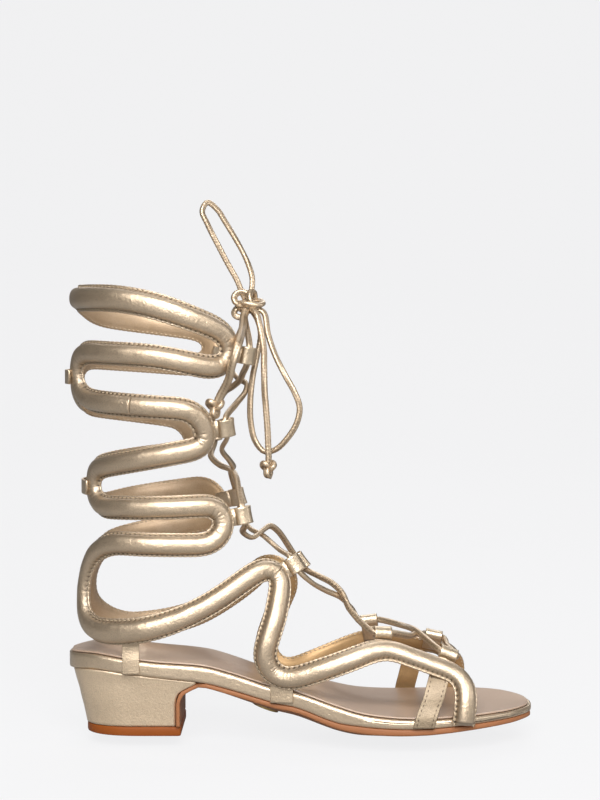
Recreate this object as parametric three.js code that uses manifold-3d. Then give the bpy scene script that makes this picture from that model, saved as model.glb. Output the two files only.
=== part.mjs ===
// A right-foot knee-low gladiator sandal: padded metallic leather straps that run to and fro up the leg,
// laced down the front, on a leather-soled footbed with a low stacked block heel.
// Millimetres. +X points to the toe, +Y to the inner (medial) side, +Z up.
// The origin is the middle of the top lift's flat bottom face, so the sandal stands on Z = 0.

import * as THREE from 'three';
import { mergeVertices } from 'three/addons/utils/BufferGeometryUtils.js';
import Module from 'manifold-3d';

const wasm = await Module();
wasm.setup();

// ---- Driving sizes ---------------------------------------------------------------------------

const GAP = 0.3; // clear space between pieces that meet
const BACK_X = -35.5;
const TOE_X = 213;

const STRAP = { half: 6.3, flange: 4.8, edge: 1.4, shoulder: 3.5, shoulderUp: 4.3, crown: 5.6 };
const BOARD_EDGE = 1.4; // rounding of the footbed's edge
const DISH = 0.8; // hollow of the footbed along its middle
const SOCK = { thick: 0.8, inset: 1.8 };
const LIFT_HEIGHT = 4.8;
const TAB = { thick: 1.2, heelWidth: 9, waistWidth: 12 };
const KEEPER = { thick: 1.3, height: 7.5, reach: 12 };
const CROSS = { width: 11, thick: 1.4 };
const LOOP = { length: 9.2, up: 0.6, halfUp: 3.0, wall: 1.0 };
const LACE = { halfWide: 1.75, halfThick: 1.45 };

const LATERAL = -1;
const MEDIAL = 1;
const SIDES = [
  { side: LATERAL, label: 'lateral' },
  { side: MEDIAL, label: 'medial' },
];

// The last above the footbed: level sections, each two half ellipses that meet where it is widest. Skew is
// how far back the inner side stands for each millimetre of breadth.
const LEG_SECTIONS = [
  { z: -10, back: -26, wide: 30, front: 190, half: 27, skew: 0 },
  { z: 30, back: -26, wide: 28, front: 180, half: 29.5, skew: 0 },
  { z: 45, back: -26, wide: 22, front: 160, half: 32.5, skew: 0 },
  { z: 60, back: -26.7, wide: 14, front: 127, half: 33.5, skew: 0 },
  { z: 79, back: -25.3, wide: 10, front: 104, half: 32.5, skew: 0 },
  { z: 94, back: -23.6, wide: 12, front: 89, half: 31.5, skew: 0.02 },
  { z: 121, back: -21.3, wide: 16, front: 63, half: 32, skew: 0.1 },
  { z: 144, back: -22.5, wide: 17, front: 57, half: 34, skew: 0.14 },
  { z: 167, back: -28, wide: 16, front: 56, half: 37, skew: 0.14 },
  { z: 205, back: -30.2, wide: 17, front: 64, half: 40.5, skew: 0.08 },
  { z: 250, back: -28, wide: 19, front: 68, half: 42, skew: 0 },
];

// The forefoot's arched sections: how high the instep line stands over each station.
const INSTEP = [
  { x: 60, top: 122 },
  { x: 90, top: 94 },
  { x: 106, top: 79 },
  { x: 130, top: 61 },
  { x: 150, top: 52 },
  { x: 165, top: 46 },
  { x: 180, top: 40 },
  { x: 195, top: 31 },
  { x: 211, top: 18 },
];

// Plan of the sole: half widths on each side of the middle line. Stand-off is how far the straps' lining
// stays outside the footbed's side wall.
const SOLE_PLAN = [
  { x: BACK_X, lateral: 0, medial: 0, standOff: 1.9 },
  { x: -34, lateral: 6.5, medial: 6.5, standOff: 1.9 },
  { x: -30, lateral: 13, medial: 13, standOff: 1.9 },
  { x: -20, lateral: 20.8, medial: 20.8, standOff: 1.9 },
  { x: -5, lateral: 25.6, medial: 25.6, standOff: 1.9 },
  { x: 15, lateral: 26.8, medial: 26.6, standOff: 1.9 },
  { x: 40, lateral: 25.8, medial: 24, standOff: 1.9 },
  { x: 70, lateral: 26.4, medial: 21, standOff: 1.9 },
  { x: 100, lateral: 31.5, medial: 26.5, standOff: 1.9 },
  { x: 125, lateral: 36.6, medial: 34.5, standOff: 0.8 },
  { x: 147, lateral: 38.4, medial: 38.6, standOff: 0.8 },
  { x: 167, lateral: 36.6, medial: 39, standOff: 0.8 },
  { x: 185, lateral: 30.5, medial: 36, standOff: 0.8 },
  { x: 200, lateral: 20.8, medial: 29, standOff: 0.8 },
  { x: 209.5, lateral: 9, medial: 19.5, standOff: 0.8 },
  { x: TOE_X, lateral: -5, medial: 6, standOff: 0.8 },
];

// Side profile at the sole's edge: top of the footbed, seam between footbed and outsole, bottom edge of
// the outsole, and the outsole's bottom along its middle line.
const SOLE_PROFILE = [
  { x: BACK_X, top: 41.8, seam: 33.6, edge: 31, middle: 31 },
  { x: -20, top: 43.1, seam: 35.4, edge: 33, middle: 33 },
  { x: -5, top: 41.4, seam: 34, edge: 31.6, middle: 31.6 },
  { x: 12, top: 39.4, seam: 32, edge: 29.8, middle: 29.6 },
  { x: 37, top: 37.2, seam: 28.9, edge: 26.6, middle: 25.6 },
  { x: 50, top: 34, seam: 25.8, edge: 23.1, middle: 20.6 },
  { x: 74, top: 26.4, seam: 18.8, edge: 16.1, middle: 12.2 },
  { x: 87, top: 23.9, seam: 16.4, edge: 13.6, middle: 9 },
  { x: 107, top: 17.6, seam: 9.7, edge: 6.5, middle: 2.4 },
  { x: 120, top: 14.2, seam: 8.2, edge: 4.4, middle: 0 },
  { x: 137, top: 12.4, seam: 7.3, edge: 3.7, middle: 0 },
  { x: 154, top: 12.1, seam: 7.5, edge: 4.2, middle: 0 },
  { x: 179, top: 12.7, seam: 9, edge: 6, middle: 2.4 },
  { x: 197, top: 13, seam: 9.6, edge: 6.9, middle: 4.6 },
  { x: TOE_X, top: 12.4, seam: 9.4, edge: 7.2, middle: 6.6 },
];

// Heel block and lift, by height: where the back line and the breast stand, and the half width.
const HEEL_SECTIONS = [
  { z: LIFT_HEIGHT + GAP, back: -26, breast: 22.9, half: 21.4 },
  { z: 12, back: -27.4, breast: 22.9, half: 22 },
  { z: 18.4, back: -29, breast: 23.1, half: 22.7 },
  { z: 22.9, back: -30, breast: 24.9, half: 23.2 },
  { z: 25.6, back: -30.8, breast: 29, half: 23.6 },
  { z: 28.2, back: -31.6, breast: 33.8, half: 24 },
  { z: 40, back: -34.5, breast: 35, half: 26 },
];
const LIFT = { back: -25.6, breast: 25.6, half: 21.8 };

// The flap of outsole leather down the heel breast, from the lift up into the waist.
const BREAST_FLAP = [
  { backX: 23.3, backZ: 5.2, frontX: 25.2, frontZ: 5.2 },
  { backX: 23.3, backZ: 12, frontX: 25.2, frontZ: 12 },
  { backX: 23.5, backZ: 18.4, frontX: 25.4, frontZ: 18.2 },
  { backX: 25.4, backZ: 22.9, frontX: 27.2, frontZ: 21.8 },
  { backX: 29.6, backZ: 25.6, frontX: 30.6, frontZ: 24 },
  { backX: 34.6, backZ: 28.2, frontX: 35, frontZ: 26 },
];

// Each strap is laid like a belt round pegs. Leg pegs: girth is measured round the last from the back
// seam, height from the floor. r > 0 turns left seen from outside, r < 0 turns right, 0 is an end.
const LEG_PEGS = {
  [LATERAL]: [
    { name: 'backSeam', girth: 0, z: 230.2, r: 0 },
    { name: 'bandDroop', girth: 34, z: 110, r: -120 },
    { name: 'front1', girth: 95.2, z: 204, r: -10.4 },
    { name: 'run2', girth: 50, z: 91, r: 110 },
    { name: 'back1', girth: 21.3, z: 189.4, r: 12.8 },
    { name: 'front2', girth: 73.4, z: 162.6, r: -10.6 },
    { name: 'back2', girth: 19.4, z: 131.3, r: 10.7 },
    { name: 'front3', girth: 76.8, z: 112.3, r: -10.2 },
    { name: 'heelUpper', girth: 34, z: 76.7, r: 26 },
    { name: 'heelLower', girth: 26.3, z: 74.2, r: 18 },
    { name: 'ankleRun', girth: 30, z: 166.4, r: 110 },
    { name: 'instep', girth: 112.8, z: 79, r: -9.6 },
    { name: 'down', girth: 120.6, z: 65, r: 0 },
  ],
  [MEDIAL]: [
    { name: 'backSeam', girth: 0, z: 230.2, r: 0 },
    { name: 'bandDrop', girth: 1.5, z: 202.2, r: -28 },
    { name: 'bandLevel', girth: 35.5, z: 248.8, r: 28 },
    { name: 'front1', girth: 85, z: 203.6, r: -10 },
    { name: 'back1', girth: 19.4, z: 185.5, r: 13 },
    { name: 'front2', girth: 66.5, z: 155.5, r: -10 },
    { name: 'back2', girth: 17, z: 129, r: 10.6 },
    { name: 'front3', girth: 75.5, z: 117.4, r: -9.2 },
    { name: 'heelUpper', girth: 29.7, z: 77.6, r: 21.5 },
    { name: 'heelLower', girth: 40.4, z: 82, r: 32 },
    { name: 'ankleRun', girth: 44, z: 136.8, r: 86.5 },
    { name: 'instep', girth: 116.5, z: 75, r: -9.8 },
    { name: 'down', girth: 121.5, z: 62, r: 0 },
  ],
};

// Foot pegs: x along the sole and height, laid on the forefoot.
const FOOT_PEGS = {
  [LATERAL]: [
    { name: 'waist', x: 82.5, z: 45, r: 12.8 },
    { name: 'vamp', x: 130.5, z: 21.6, r: -25 },
    { name: 'toe', x: 163.3, z: 24.6, r: -11 },
    { name: 'end', x: 172.6, z: 9.6, r: 0 },
  ],
  [MEDIAL]: [
    { name: 'waist', x: 82, z: 38.4, r: 12.8 },
    { name: 'vamp', x: 132, z: 14.4, r: -28 },
    { name: 'toe', x: 162.3, z: 25, r: -12 },
    { name: 'end', x: 172.6, z: 9.6, r: 0 },
  ],
};

// Lace loops, top pair first: the turn each is sewn to, how many stations before it, where on that turn
// (0 points forward, 90 up), how far its middle stands off the strap's middle line, half its depth, and
// how far its tail lies inside the strap's lining.
const LOOPS = [
  {
    turn: 'front1',
    before: 0,
    lateral: { angle: -14, out: 12.4 },
    medial: { angle: -20, out: 12.2 },
    halfOut: 4.5,
    drop: 0.35,
  },
  {
    turn: 'front2',
    before: 0,
    lateral: { angle: -8, out: 12.4 },
    medial: { angle: -12, out: 12.2 },
    halfOut: 4.5,
    drop: 0.35,
  },
  {
    turn: 'front3',
    before: 0,
    lateral: { angle: 14, out: 12 },
    medial: { angle: 12, out: 12.6 },
    halfOut: 4.5,
    drop: 0.35,
  },
  {
    turn: 'instep',
    before: 0,
    lateral: { angle: 42, out: 12 },
    medial: { angle: 40, out: 11.6 },
    halfOut: 4.5,
    drop: 0.35,
  },
  {
    turn: 'vamp',
    before: 0,
    lateral: { angle: 86, out: 10.4 },
    medial: { angle: 98, out: 12.6 },
    halfOut: 3.5,
    drop: 0.9,
  },
  {
    turn: 'toe',
    before: 4,
    lateral: { angle: 70, out: 11.4 },
    medial: { angle: 79, out: 12 },
    halfOut: 3.5,
    drop: 0.8,
  },
];

// Where the two runs of lace cross or twist between each pair of loops and the next, and where they
// come together under the knot.
const KNOT = { x: 60.5, y: -4, z: 227, wide: 6.4, thick: 5.2, tall: 5.6 };
const CROSSINGS = [
  { x: 56.3, y: 0, z: 186.2 },
  { x: 53.6, y: 0, z: 141.2 },
  { x: 64.7, y: 0, z: 104.1 },
  { x: 110.3, y: 0, z: 71.2 },
  { x: 147.9, y: 0, z: 51.2 },
];

// ---- Materials -------------------------------------------------------------------------------

const goldLeather = new THREE.MeshStandardMaterial({ color: 0xc4ae8c, roughness: 0.32, metalness: 0.75 });
const laceLeather = new THREE.MeshStandardMaterial({ color: 0xb89f7c, roughness: 0.45, metalness: 0.5 });
const sockLeather = new THREE.MeshStandardMaterial({ color: 0xb7a698, roughness: 0.5, metalness: 0.1 });
const soleLeather = new THREE.MeshStandardMaterial({ color: 0xc07a50, roughness: 0.6, metalness: 0 });
const liftRubber = new THREE.MeshStandardMaterial({ color: 0xa5551e, roughness: 0.7, metalness: 0 });
const plateMetal = new THREE.MeshStandardMaterial({ color: 0xb89a5c, roughness: 0.3, metalness: 1 });

const sandal = new THREE.Group();

function addPiece(name, geometry, material) {
  const mesh = new THREE.Mesh(geometry, material);
  mesh.name = name;
  sandal.add(mesh);
  return mesh;
}

// ---- Table lookup and lofting ----------------------------------------------------------------

// A column of a table at any place along its key, through a smooth cubic between the rows.
function lookUp(table, key, at, column) {
  const last = table.length - 1;
  if (at <= table[0][key]) return table[0][column];
  if (at >= table[last][key]) return table[last][column];
  let i = 0;
  while (at > table[i + 1][key]) i += 1;
  const slope = (j) => {
    const a = table[Math.max(j - 1, 0)];
    const b = table[Math.min(j + 1, last)];
    return (b[column] - a[column]) / (b[key] - a[key]);
  };
  const step = table[i + 1][key] - table[i][key];
  const t = (at - table[i][key]) / step;
  const rise = table[i + 1][column] - table[i][column];
  const m0 = slope(i) * step;
  const m1 = slope(i + 1) * step;
  return table[i][column] + m0 * t + (3 * rise - 2 * m0 - m1) * t ** 2 + (m0 + m1 - 2 * rise) * t ** 3;
}

// A closed solid through rings that all have the same number of points; its faces are turned outwards.
function loft(rings, hubs = null) {
  const count = rings[0].length;
  const positions = [];
  for (const ring of rings) for (const p of ring) positions.push(p.x, p.y, p.z);
  const indices = [];
  for (let r = 0; r + 1 < rings.length; r += 1) {
    for (let k = 0; k < count; k += 1) {
      const a = r * count + k;
      const b = r * count + ((k + 1) % count);
      indices.push(a, b, b + count, a, b + count, a + count);
    }
  }
  const middle = (ring) => ring.reduce((s, p) => s.add(p), new THREE.Vector3()).divideScalar(count);
  const ends = hubs || [middle(rings[0]), middle(rings[rings.length - 1])];
  for (const hub of ends) positions.push(hub.x, hub.y, hub.z);
  const firstHub = rings.length * count;
  const lastRing = (rings.length - 1) * count;
  for (let k = 0; k < count; k += 1) {
    const next = (k + 1) % count;
    indices.push(firstHub, next, k, firstHub + 1, lastRing + k, lastRing + next);
  }
  let volume = 0;
  const at = (i) => new THREE.Vector3().fromArray(positions, 3 * i);
  for (let i = 0; i < indices.length; i += 3) {
    volume += at(indices[i]).dot(at(indices[i + 1]).cross(at(indices[i + 2])));
  }
  if (volume < 0) indices.reverse();
  const geometry = new THREE.BufferGeometry();
  geometry.setAttribute('position', new THREE.Float32BufferAttribute(positions, 3));
  geometry.setIndex(indices);
  return geometry;
}

function toManifold(geometry) {
  const bare = geometry.clone();
  bare.deleteAttribute('normal');
  bare.deleteAttribute('uv');
  const merged = mergeVertices(bare, 1e-4);
  return new wasm.Manifold(new wasm.Mesh({
    numProp: 3,
    vertProperties: new Float32Array(merged.attributes.position.array),
    triVerts: new Uint32Array(merged.index.array),
  }));
}

function fromManifold(solid) {
  const mesh = solid.getMesh();
  const geometry = new THREE.BufferGeometry();
  geometry.setAttribute('position', new THREE.BufferAttribute(mesh.vertProperties, 3));
  geometry.setIndex(new THREE.BufferAttribute(mesh.triVerts, 1));
  return geometry;
}

// ---- The last --------------------------------------------------------------------------------

const sideColumn = (side) => (side === LATERAL ? 'lateral' : 'medial');
const planHalf = (x, side) => lookUp(SOLE_PLAN, 'x', x, sideColumn(side));
const profile = (x, column) => lookUp(SOLE_PROFILE, 'x', x, column);
const legColumn = (z, column) => lookUp(LEG_SECTIONS, 'z', z, column);

const GIRTH_STEPS = 160;

// A point on a level section of the last, by its angle from the back seam.
function sectionPoint(side, z, angle) {
  const wide = legColumn(z, 'wide');
  const reach = angle < Math.PI / 2 ? wide - legColumn(z, 'back') : legColumn(z, 'front') - wide;
  const y = side * legColumn(z, 'half') * Math.sin(angle);
  return new THREE.Vector2(wide - reach * Math.cos(angle) - legColumn(z, 'skew') * y, y);
}

// The point that lies a given girth round the last from the back seam; negative girth is the other side.
function legPoint(seenSide, girth, z) {
  const side = girth < 0 ? -seenSide : seenSide;
  const target = Math.abs(girth);
  let walked = 0;
  let before = sectionPoint(side, z, 0);
  for (let k = 1; k <= GIRTH_STEPS; k += 1) {
    const here = sectionPoint(side, z, (k / GIRTH_STEPS) * Math.PI);
    const step = here.distanceTo(before);
    if (walked + step >= target) {
      const at = before.lerp(here, (target - walked) / step);
      return new THREE.Vector3(at.x, at.y, z);
    }
    walked += step;
    before = here;
  }
  return new THREE.Vector3(before.x, 0, z);
}

// The last's half breadth over the foot at a station and height: the leg's section, the forefoot's arch
// or the wall beside the footbed, whichever stands furthest out.
function footPoint(side, x, z) {
  const wide = legColumn(z, 'wide');
  const reach = x < wide ? wide - legColumn(z, 'back') : legColumn(z, 'front') - wide;
  const leg = legColumn(z, 'half') * Math.sqrt(Math.max(0, 1 - ((x - wide) / reach) ** 2));
  const wall = planHalf(x, side) + lookUp(SOLE_PLAN, 'x', x, 'standOff');
  const feather = profile(x, 'top') + 3;
  const rise = Math.max(0, z - feather) / (lookUp(INSTEP, 'x', x, 'top') - feather);
  const arch = wall * Math.sqrt(Math.max(0, 1 - rise ** 2));
  const held = z < feather - 4 ? wall : Math.max(leg, arch);
  return new THREE.Vector3(x, side * held, z);
}

// The outward normal of either surface, from points a little to each side.
function surfaceNormal(surface, side, along, z) {
  const reach = 1.2;
  const du = surface(side, along + reach, z).sub(surface(side, along - reach, z));
  const dv = surface(side, along, z + reach).sub(surface(side, along, z - reach));
  const normal = du.cross(dv).normalize();
  return normal.y * side < 0 && Math.abs(normal.y) > 0.05 ? normal.negate() : normal;
}

// ---- Strap routes ----------------------------------------------------------------------------

// The turn from one heading to the next, always in the peg's own sense.
function turnBetween(into, out, sense) {
  const turn = THREE.MathUtils.euclideanModulo(sense * (out - into), 2 * Math.PI);
  return turn > 2 * Math.PI - 0.01 ? 0 : sense * turn;
}

// The line of a belt round pegs, as points about a millimetre apart, each marked with its peg.
function beltLine(pegs) {
  const heading = [];
  for (let i = 0; i + 1 < pegs.length; i += 1) {
    const du = pegs[i + 1].u - pegs[i].u;
    const dz = pegs[i + 1].z - pegs[i].z;
    const slack = pegs[i].r - pegs[i + 1].r;
    const free = Math.sqrt(Math.max(0, du ** 2 + dz ** 2 - slack ** 2));
    heading.push(Math.atan2(dz, du) + Math.atan2(slack, free));
  }
  const line = [];
  const touch = (peg, angle) => ({ u: peg.u + peg.r * Math.sin(angle), z: peg.z - peg.r * Math.cos(angle) });
  const straight = (from, to, name) => {
    const steps = Math.max(1, Math.round(Math.hypot(to.u - from.u, to.z - from.z)));
    for (let s = 1; s < steps; s += 1) {
      const t = s / steps;
      line.push({ u: from.u + t * (to.u - from.u), z: from.z + t * (to.z - from.z), after: name });
    }
  };
  pegs.forEach((peg, i) => {
    const into = heading[Math.max(0, i - 1)];
    const out = heading[Math.min(i, heading.length - 1)];
    const turn = turnBetween(into, out, Math.sign(peg.r));
    const steps = peg.r === 0 ? 0 : Math.max(2, Math.round(Math.abs(turn * peg.r)));
    for (let s = 0; s <= steps; s += 1) {
      const angle = into + (steps ? (s / steps) * turn : 0);
      const facing = THREE.MathUtils.radToDeg(Math.atan2(-Math.cos(angle) * peg.r, Math.sin(angle) * peg.r));
      line.push({ ...touch(peg, angle), peg: peg.name, facing });
    }
    if (i + 1 < pegs.length) {
      straight(touch(peg, heading[i]), touch(pegs[i + 1], heading[i]), peg.name);
    }
  });
  return line;
}

// Straps keep a fair line where one surface runs into the next.
function fair(points, passes, reach) {
  let now = points;
  for (let pass = 0; pass < passes; pass += 1) {
    const before = now;
    now = before.map((p, i) => {
      const span = Math.min(reach, i, before.length - 1 - i);
      const sum = new THREE.Vector3();
      for (let k = -span; k <= span; k += 1) sum.add(before[i + k]);
      return sum.divideScalar(2 * span + 1);
    });
  }
  return now;
}

// One side's whole strap from the back seam to the toe: places, outward normals and peg marks.
function strapRoute(side) {
  const legMarks = beltLine(LEG_PEGS[side].map((row) => ({ ...row, u: row.girth })));
  const handOver = legMarks[legMarks.length - 1];
  const meet = legPoint(side, handOver.u, handOver.z);
  const footRows = FOOT_PEGS[side].map((row) => ({ ...row, u: row.x }));
  const footMarks = beltLine([{ name: 'down', u: meet.x, z: meet.z, r: 0 }, ...footRows]).slice(1);
  const marks = [
    ...legMarks.map((mark) => ({ ...mark, surface: legPoint })),
    ...footMarks.map((mark) => ({ ...mark, surface: footPoint })),
  ];
  const places = fair(marks.map((mark) => mark.surface(side, mark.u, mark.z)), 3, 3);
  const normals = fair(marks.map((m) => surfaceNormal(m.surface, side, m.u, m.z)), 3, 5);
  return framesAlong(marks.map((mark, i) => ({ ...mark, place: places[i], normal: normals[i] })));
}

// Local axes along a route: t along it, n out of the last, b across it.
function framesAlong(route) {
  return route.map((point, i) => {
    const t = route[Math.min(i + 1, route.length - 1)].place.clone();
    t.sub(route[Math.max(i - 1, 0)].place).normalize();
    const n = point.normal.clone().addScaledVector(t, -point.normal.dot(t)).normalize();
    return { ...point, t, n, b: t.clone().cross(n) };
  });
}

const routes = { [LATERAL]: strapRoute(LATERAL), [MEDIAL]: strapRoute(MEDIAL) };

// Fewer stations: one wherever the strap has turned or travelled enough.
function thinOut(frames, mostTurn, mostTravel) {
  const kept = [frames[0]];
  let turned = 0;
  let travelled = 0;
  for (let i = 1; i + 1 < frames.length; i += 1) {
    turned += frames[i].t.angleTo(frames[i - 1].t);
    travelled += frames[i].place.distanceTo(frames[i - 1].place);
    if (turned > mostTurn || travelled > mostTravel) {
      kept.push(frames[i]);
      turned = 0;
      travelled = 0;
    }
  }
  kept.push(frames[frames.length - 1]);
  return kept;
}

// Section of the padded strap: flat lining, a sewn flange along each edge and a stuffed round between.
const STRAP_SECTION = [
  { across: -STRAP.half, up: 0 },
  { across: STRAP.half, up: 0 },
  { across: STRAP.half, up: STRAP.edge },
  { across: STRAP.flange, up: STRAP.edge },
  { across: STRAP.shoulder, up: STRAP.shoulderUp },
  { across: 0, up: STRAP.crown },
  { across: -STRAP.shoulder, up: STRAP.shoulderUp },
  { across: -STRAP.flange, up: STRAP.edge },
  { across: -STRAP.half, up: STRAP.edge },
];

function sweepStrap(route, section = STRAP_SECTION, lift = 0) {
  const stations = thinOut(route, 0.33, 11);
  const spot = (s, across, up) => s.place.clone().addScaledVector(s.b, across).addScaledVector(s.n, up + lift);
  const rings = stations.map((s) => section.map((corner) => spot(s, corner.across, corner.up)));
  const hub = (s) => spot(s, 0, STRAP.edge * 0.6);
  return loft(rings, [hub(stations[0]), hub(stations[stations.length - 1])]);
}

// The seam behind the second front turn, and the one under the instep loop, part the strap in three.
const SEAM_AFTER_BACK1 = 28;
function cutRoute(side) {
  const route = routes[side];
  const seam = route.findIndex((p) => p.after === 'back1') + SEAM_AFTER_BACK1;
  const onInstep = route.map((p, i) => (p.peg === 'instep' ? i : -1)).filter((i) => i >= 0);
  const top = onInstep[Math.floor(onInstep.length * 0.55)];
  return { band: route.slice(0, seam + 1), shaft: route.slice(seam, top + 1), foot: route.slice(top) };
}

// Draws a route's ends back by half a gap each.
function trimEnds(route) {
  const last = route.length - 1;
  const drawn = (frame, way) => frame.place.clone().addScaledVector(frame.t, (way * GAP) / 2);
  return route.map((frame, i) => {
    if (i === 0) return { ...frame, place: drawn(frame, 1) };
    return i === last ? { ...frame, place: drawn(frame, -1) } : frame;
  });
}

const pieces = { [LATERAL]: cutRoute(LATERAL), [MEDIAL]: cutRoute(MEDIAL) };
const roundBack = [...pieces[LATERAL].band.slice(1).reverse(), ...pieces[MEDIAL].band];
const bandPlaces = fair(roundBack.map((p) => p.place), 3, 4);
const bandNormals = fair(roundBack.map((p) => p.normal), 3, 6);
const bandRoute = framesAlong(roundBack.map((p, i) => ({ ...p, place: bandPlaces[i], normal: bandNormals[i] })));

addPiece('collar_strap', sweepStrap(trimEnds(bandRoute)), goldLeather);
for (const { side, label } of SIDES) {
  addPiece(`shaft_strap_${label}`, sweepStrap(trimEnds(pieces[side].shaft)), goldLeather);
  addPiece(`foot_strap_${label}`, sweepStrap(trimEnds(pieces[side].foot)), goldLeather);
}

// ---- Sole ------------------------------------------------------------------------------------

// Stations along the sole, closer together at the round heel and toe.
const SOLE_STATIONS = 34;
function soleStations(from, to, count = SOLE_STATIONS) {
  const span = to - from;
  return Array.from({ length: count + 1 }, (_, i) => {
    const even = i / count;
    const bunched = (1 - Math.cos(Math.PI * even)) / 2;
    return from + span * (0.35 * even + 0.65 * bunched);
  });
}

// One slice of a slab across the sole: its corners are given by how far in from each edge they lie.
function soleSlice(x, inset, corners) {
  const lateral = -(planHalf(x, LATERAL) - inset);
  const medial = Math.max(planHalf(x, MEDIAL) - inset, lateral + 1);
  return corners.map(({ from, inBy = 0, z }) => {
    const half = (medial - lateral) / 2;
    const room = Math.min(inBy, half * 0.9);
    const y = { lateral: lateral + room, medial: medial - room, middle: (lateral + medial) / 2 }[from];
    return new THREE.Vector3(x, y, z);
  });
}

function boardSlice(x) {
  const top = profile(x, 'top');
  const seam = profile(x, 'seam');
  return soleSlice(x, 0, [
    { from: 'lateral', inBy: 0.9, z: seam },
    { from: 'lateral', z: seam + 1.2 },
    { from: 'lateral', z: top - BOARD_EDGE },
    { from: 'lateral', inBy: BOARD_EDGE, z: top },
    { from: 'middle', z: top - DISH },
    { from: 'medial', inBy: BOARD_EDGE, z: top },
    { from: 'medial', z: top - BOARD_EDGE },
    { from: 'medial', z: seam + 1.2 },
    { from: 'medial', inBy: 0.9, z: seam },
    { from: 'middle', z: seam },
  ]);
}
const boardEnds = soleStations(BACK_X + 0.1, TOE_X - 0.2);
addPiece('footbed_board', loft(boardEnds.map(boardSlice)), goldLeather);

function sockSlice(x) {
  const top = profile(x, 'top') + GAP;
  return soleSlice(x, SOCK.inset, [
    { from: 'lateral', z: top },
    { from: 'lateral', z: top + SOCK.thick },
    { from: 'middle', z: top + SOCK.thick - DISH },
    { from: 'medial', z: top + SOCK.thick },
    { from: 'medial', z: top },
    { from: 'middle', z: top - DISH },
  ]);
}
const sockRings = soleStations(BACK_X + SOCK.inset, TOE_X - SOCK.inset - 1.5).map(sockSlice);
const sockHubs = [sockRings[0], sockRings[sockRings.length - 1]].map((ring) => ring[2].clone().lerp(ring[5], 0.5));
addPiece('insole', loft(sockRings, sockHubs), sockLeather);

const OUTSOLE_START = 39;
const TREAD_HALF = 0.42; // share of the half width that the tread's middle plane takes
function outsoleRing(back, front, x, crown) {
  const lateral = -planHalf(x, LATERAL) + 0.4;
  const medial = planHalf(x, MEDIAL) - 0.4;
  const middle = (lateral + medial) / 2;
  const half = (medial - lateral) / 2;
  const on = (line, y, drop) => new THREE.Vector3(line.x, y, line.z - drop);
  return [
    on(back, lateral, 0),
    on(back, middle, 0),
    on(back, medial, 0),
    on(front, medial, 0),
    on(front, middle + half * 0.72, crown * 0.62),
    on(front, middle + half * TREAD_HALF, crown),
    on(front, middle - half * TREAD_HALF, crown),
    on(front, middle - half * 0.72, crown * 0.62),
    on(front, lateral, 0),
  ];
}
const flapRings = BREAST_FLAP.map((row) => outsoleRing(
  { x: row.backX, z: row.backZ },
  { x: row.frontX, z: row.frontZ },
  row.backX,
  0,
).map((p) => new THREE.Vector3(p.x, p.y * 0.9, p.z)));
const treadRings = soleStations(OUTSOLE_START, TOE_X - 1.2, 26).map((x) => {
  const seam = profile(x, 'seam') - GAP;
  const edge = profile(x, 'edge');
  return outsoleRing({ x, z: seam }, { x, z: edge }, x, edge - Math.max(0, profile(x, 'middle')));
});
addPiece('outsole', loft([...flapRings, ...treadRings]), soleLeather);

// The heel: level D-shaped sections, then trimmed to the footbed's underside.
const HEEL_ARC_STEPS = 9;
function heelRing({ z, back, breast, half }) {
  const round = (breast - back) * 0.62;
  const arc = Array.from({ length: HEEL_ARC_STEPS + 1 }, (_, i) => {
    const angle = (i / HEEL_ARC_STEPS - 0.5) * Math.PI;
    const flat = Math.sign(Math.sin(angle)) * Math.abs(Math.sin(angle)) ** 0.8 * half;
    return new THREE.Vector3(back + round * (1 - Math.cos(angle) ** 0.8), flat, z);
  });
  return [...arc, new THREE.Vector3(breast, half, z), new THREE.Vector3(breast, -half, z)];
}
const overHeel = loft(soleStations(BACK_X - 3, 60, 22).map((x) => {
  const under = profile(x, 'seam') - GAP;
  return [[-40, under], [40, under], [40, 80], [-40, 80]].map(([y, z]) => new THREE.Vector3(x, y, z));
}));
const heelSolid = toManifold(loft(HEEL_SECTIONS.map(heelRing))).subtract(toManifold(overHeel));
addPiece('heel_block', fromManifold(heelSolid), goldLeather);
const liftRings = [0, LIFT_HEIGHT].map((z) => heelRing({ z, ...LIFT }));
addPiece('top_lift', loft(liftRings), liftRubber);

// A plain oval plate under the waist.
const PLATE = { x: 69.5, z: 10.4, halfLong: 7.4, halfWide: 4.6, thick: 1, slope: 0.36 };
const plateOutline = new THREE.Shape().absellipse(0, 0, PLATE.halfLong, PLATE.halfWide, 0, Math.PI * 2);
const plateShape = new THREE.ExtrudeGeometry(plateOutline, {
  depth: PLATE.thick,
  bevelEnabled: false,
  curveSegments: 10,
});
plateShape.rotateY(PLATE.slope);
plateShape.translate(PLATE.x, 0, PLATE.z);
addPiece('waist_plate', plateShape, plateMetal);

// ---- Tabs, keepers and flat straps -----------------------------------------------------------

// A flat strip laid down the last's side from a strap's lining to the footbed's seam.
function stripDown(side, rows, width, thick) {
  const rings = rows.map(({ x, z, out }) => {
    const corners = [[-1, 0], [1, 0], [1, 1], [-1, 1]];
    return corners.map(([end, face]) => {
      const at = x + (end * width) / 2;
      return new THREE.Vector3(at, side * (out(at) + face * thick), z);
    });
  });
  return loft(rings);
}

const besideBoard = (side) => (x) => planHalf(x, side) + GAP;
const insideStrap = (side, z, thick) => (x) => Math.abs(footPoint(side, x, z).y) - thick - GAP;

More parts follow.
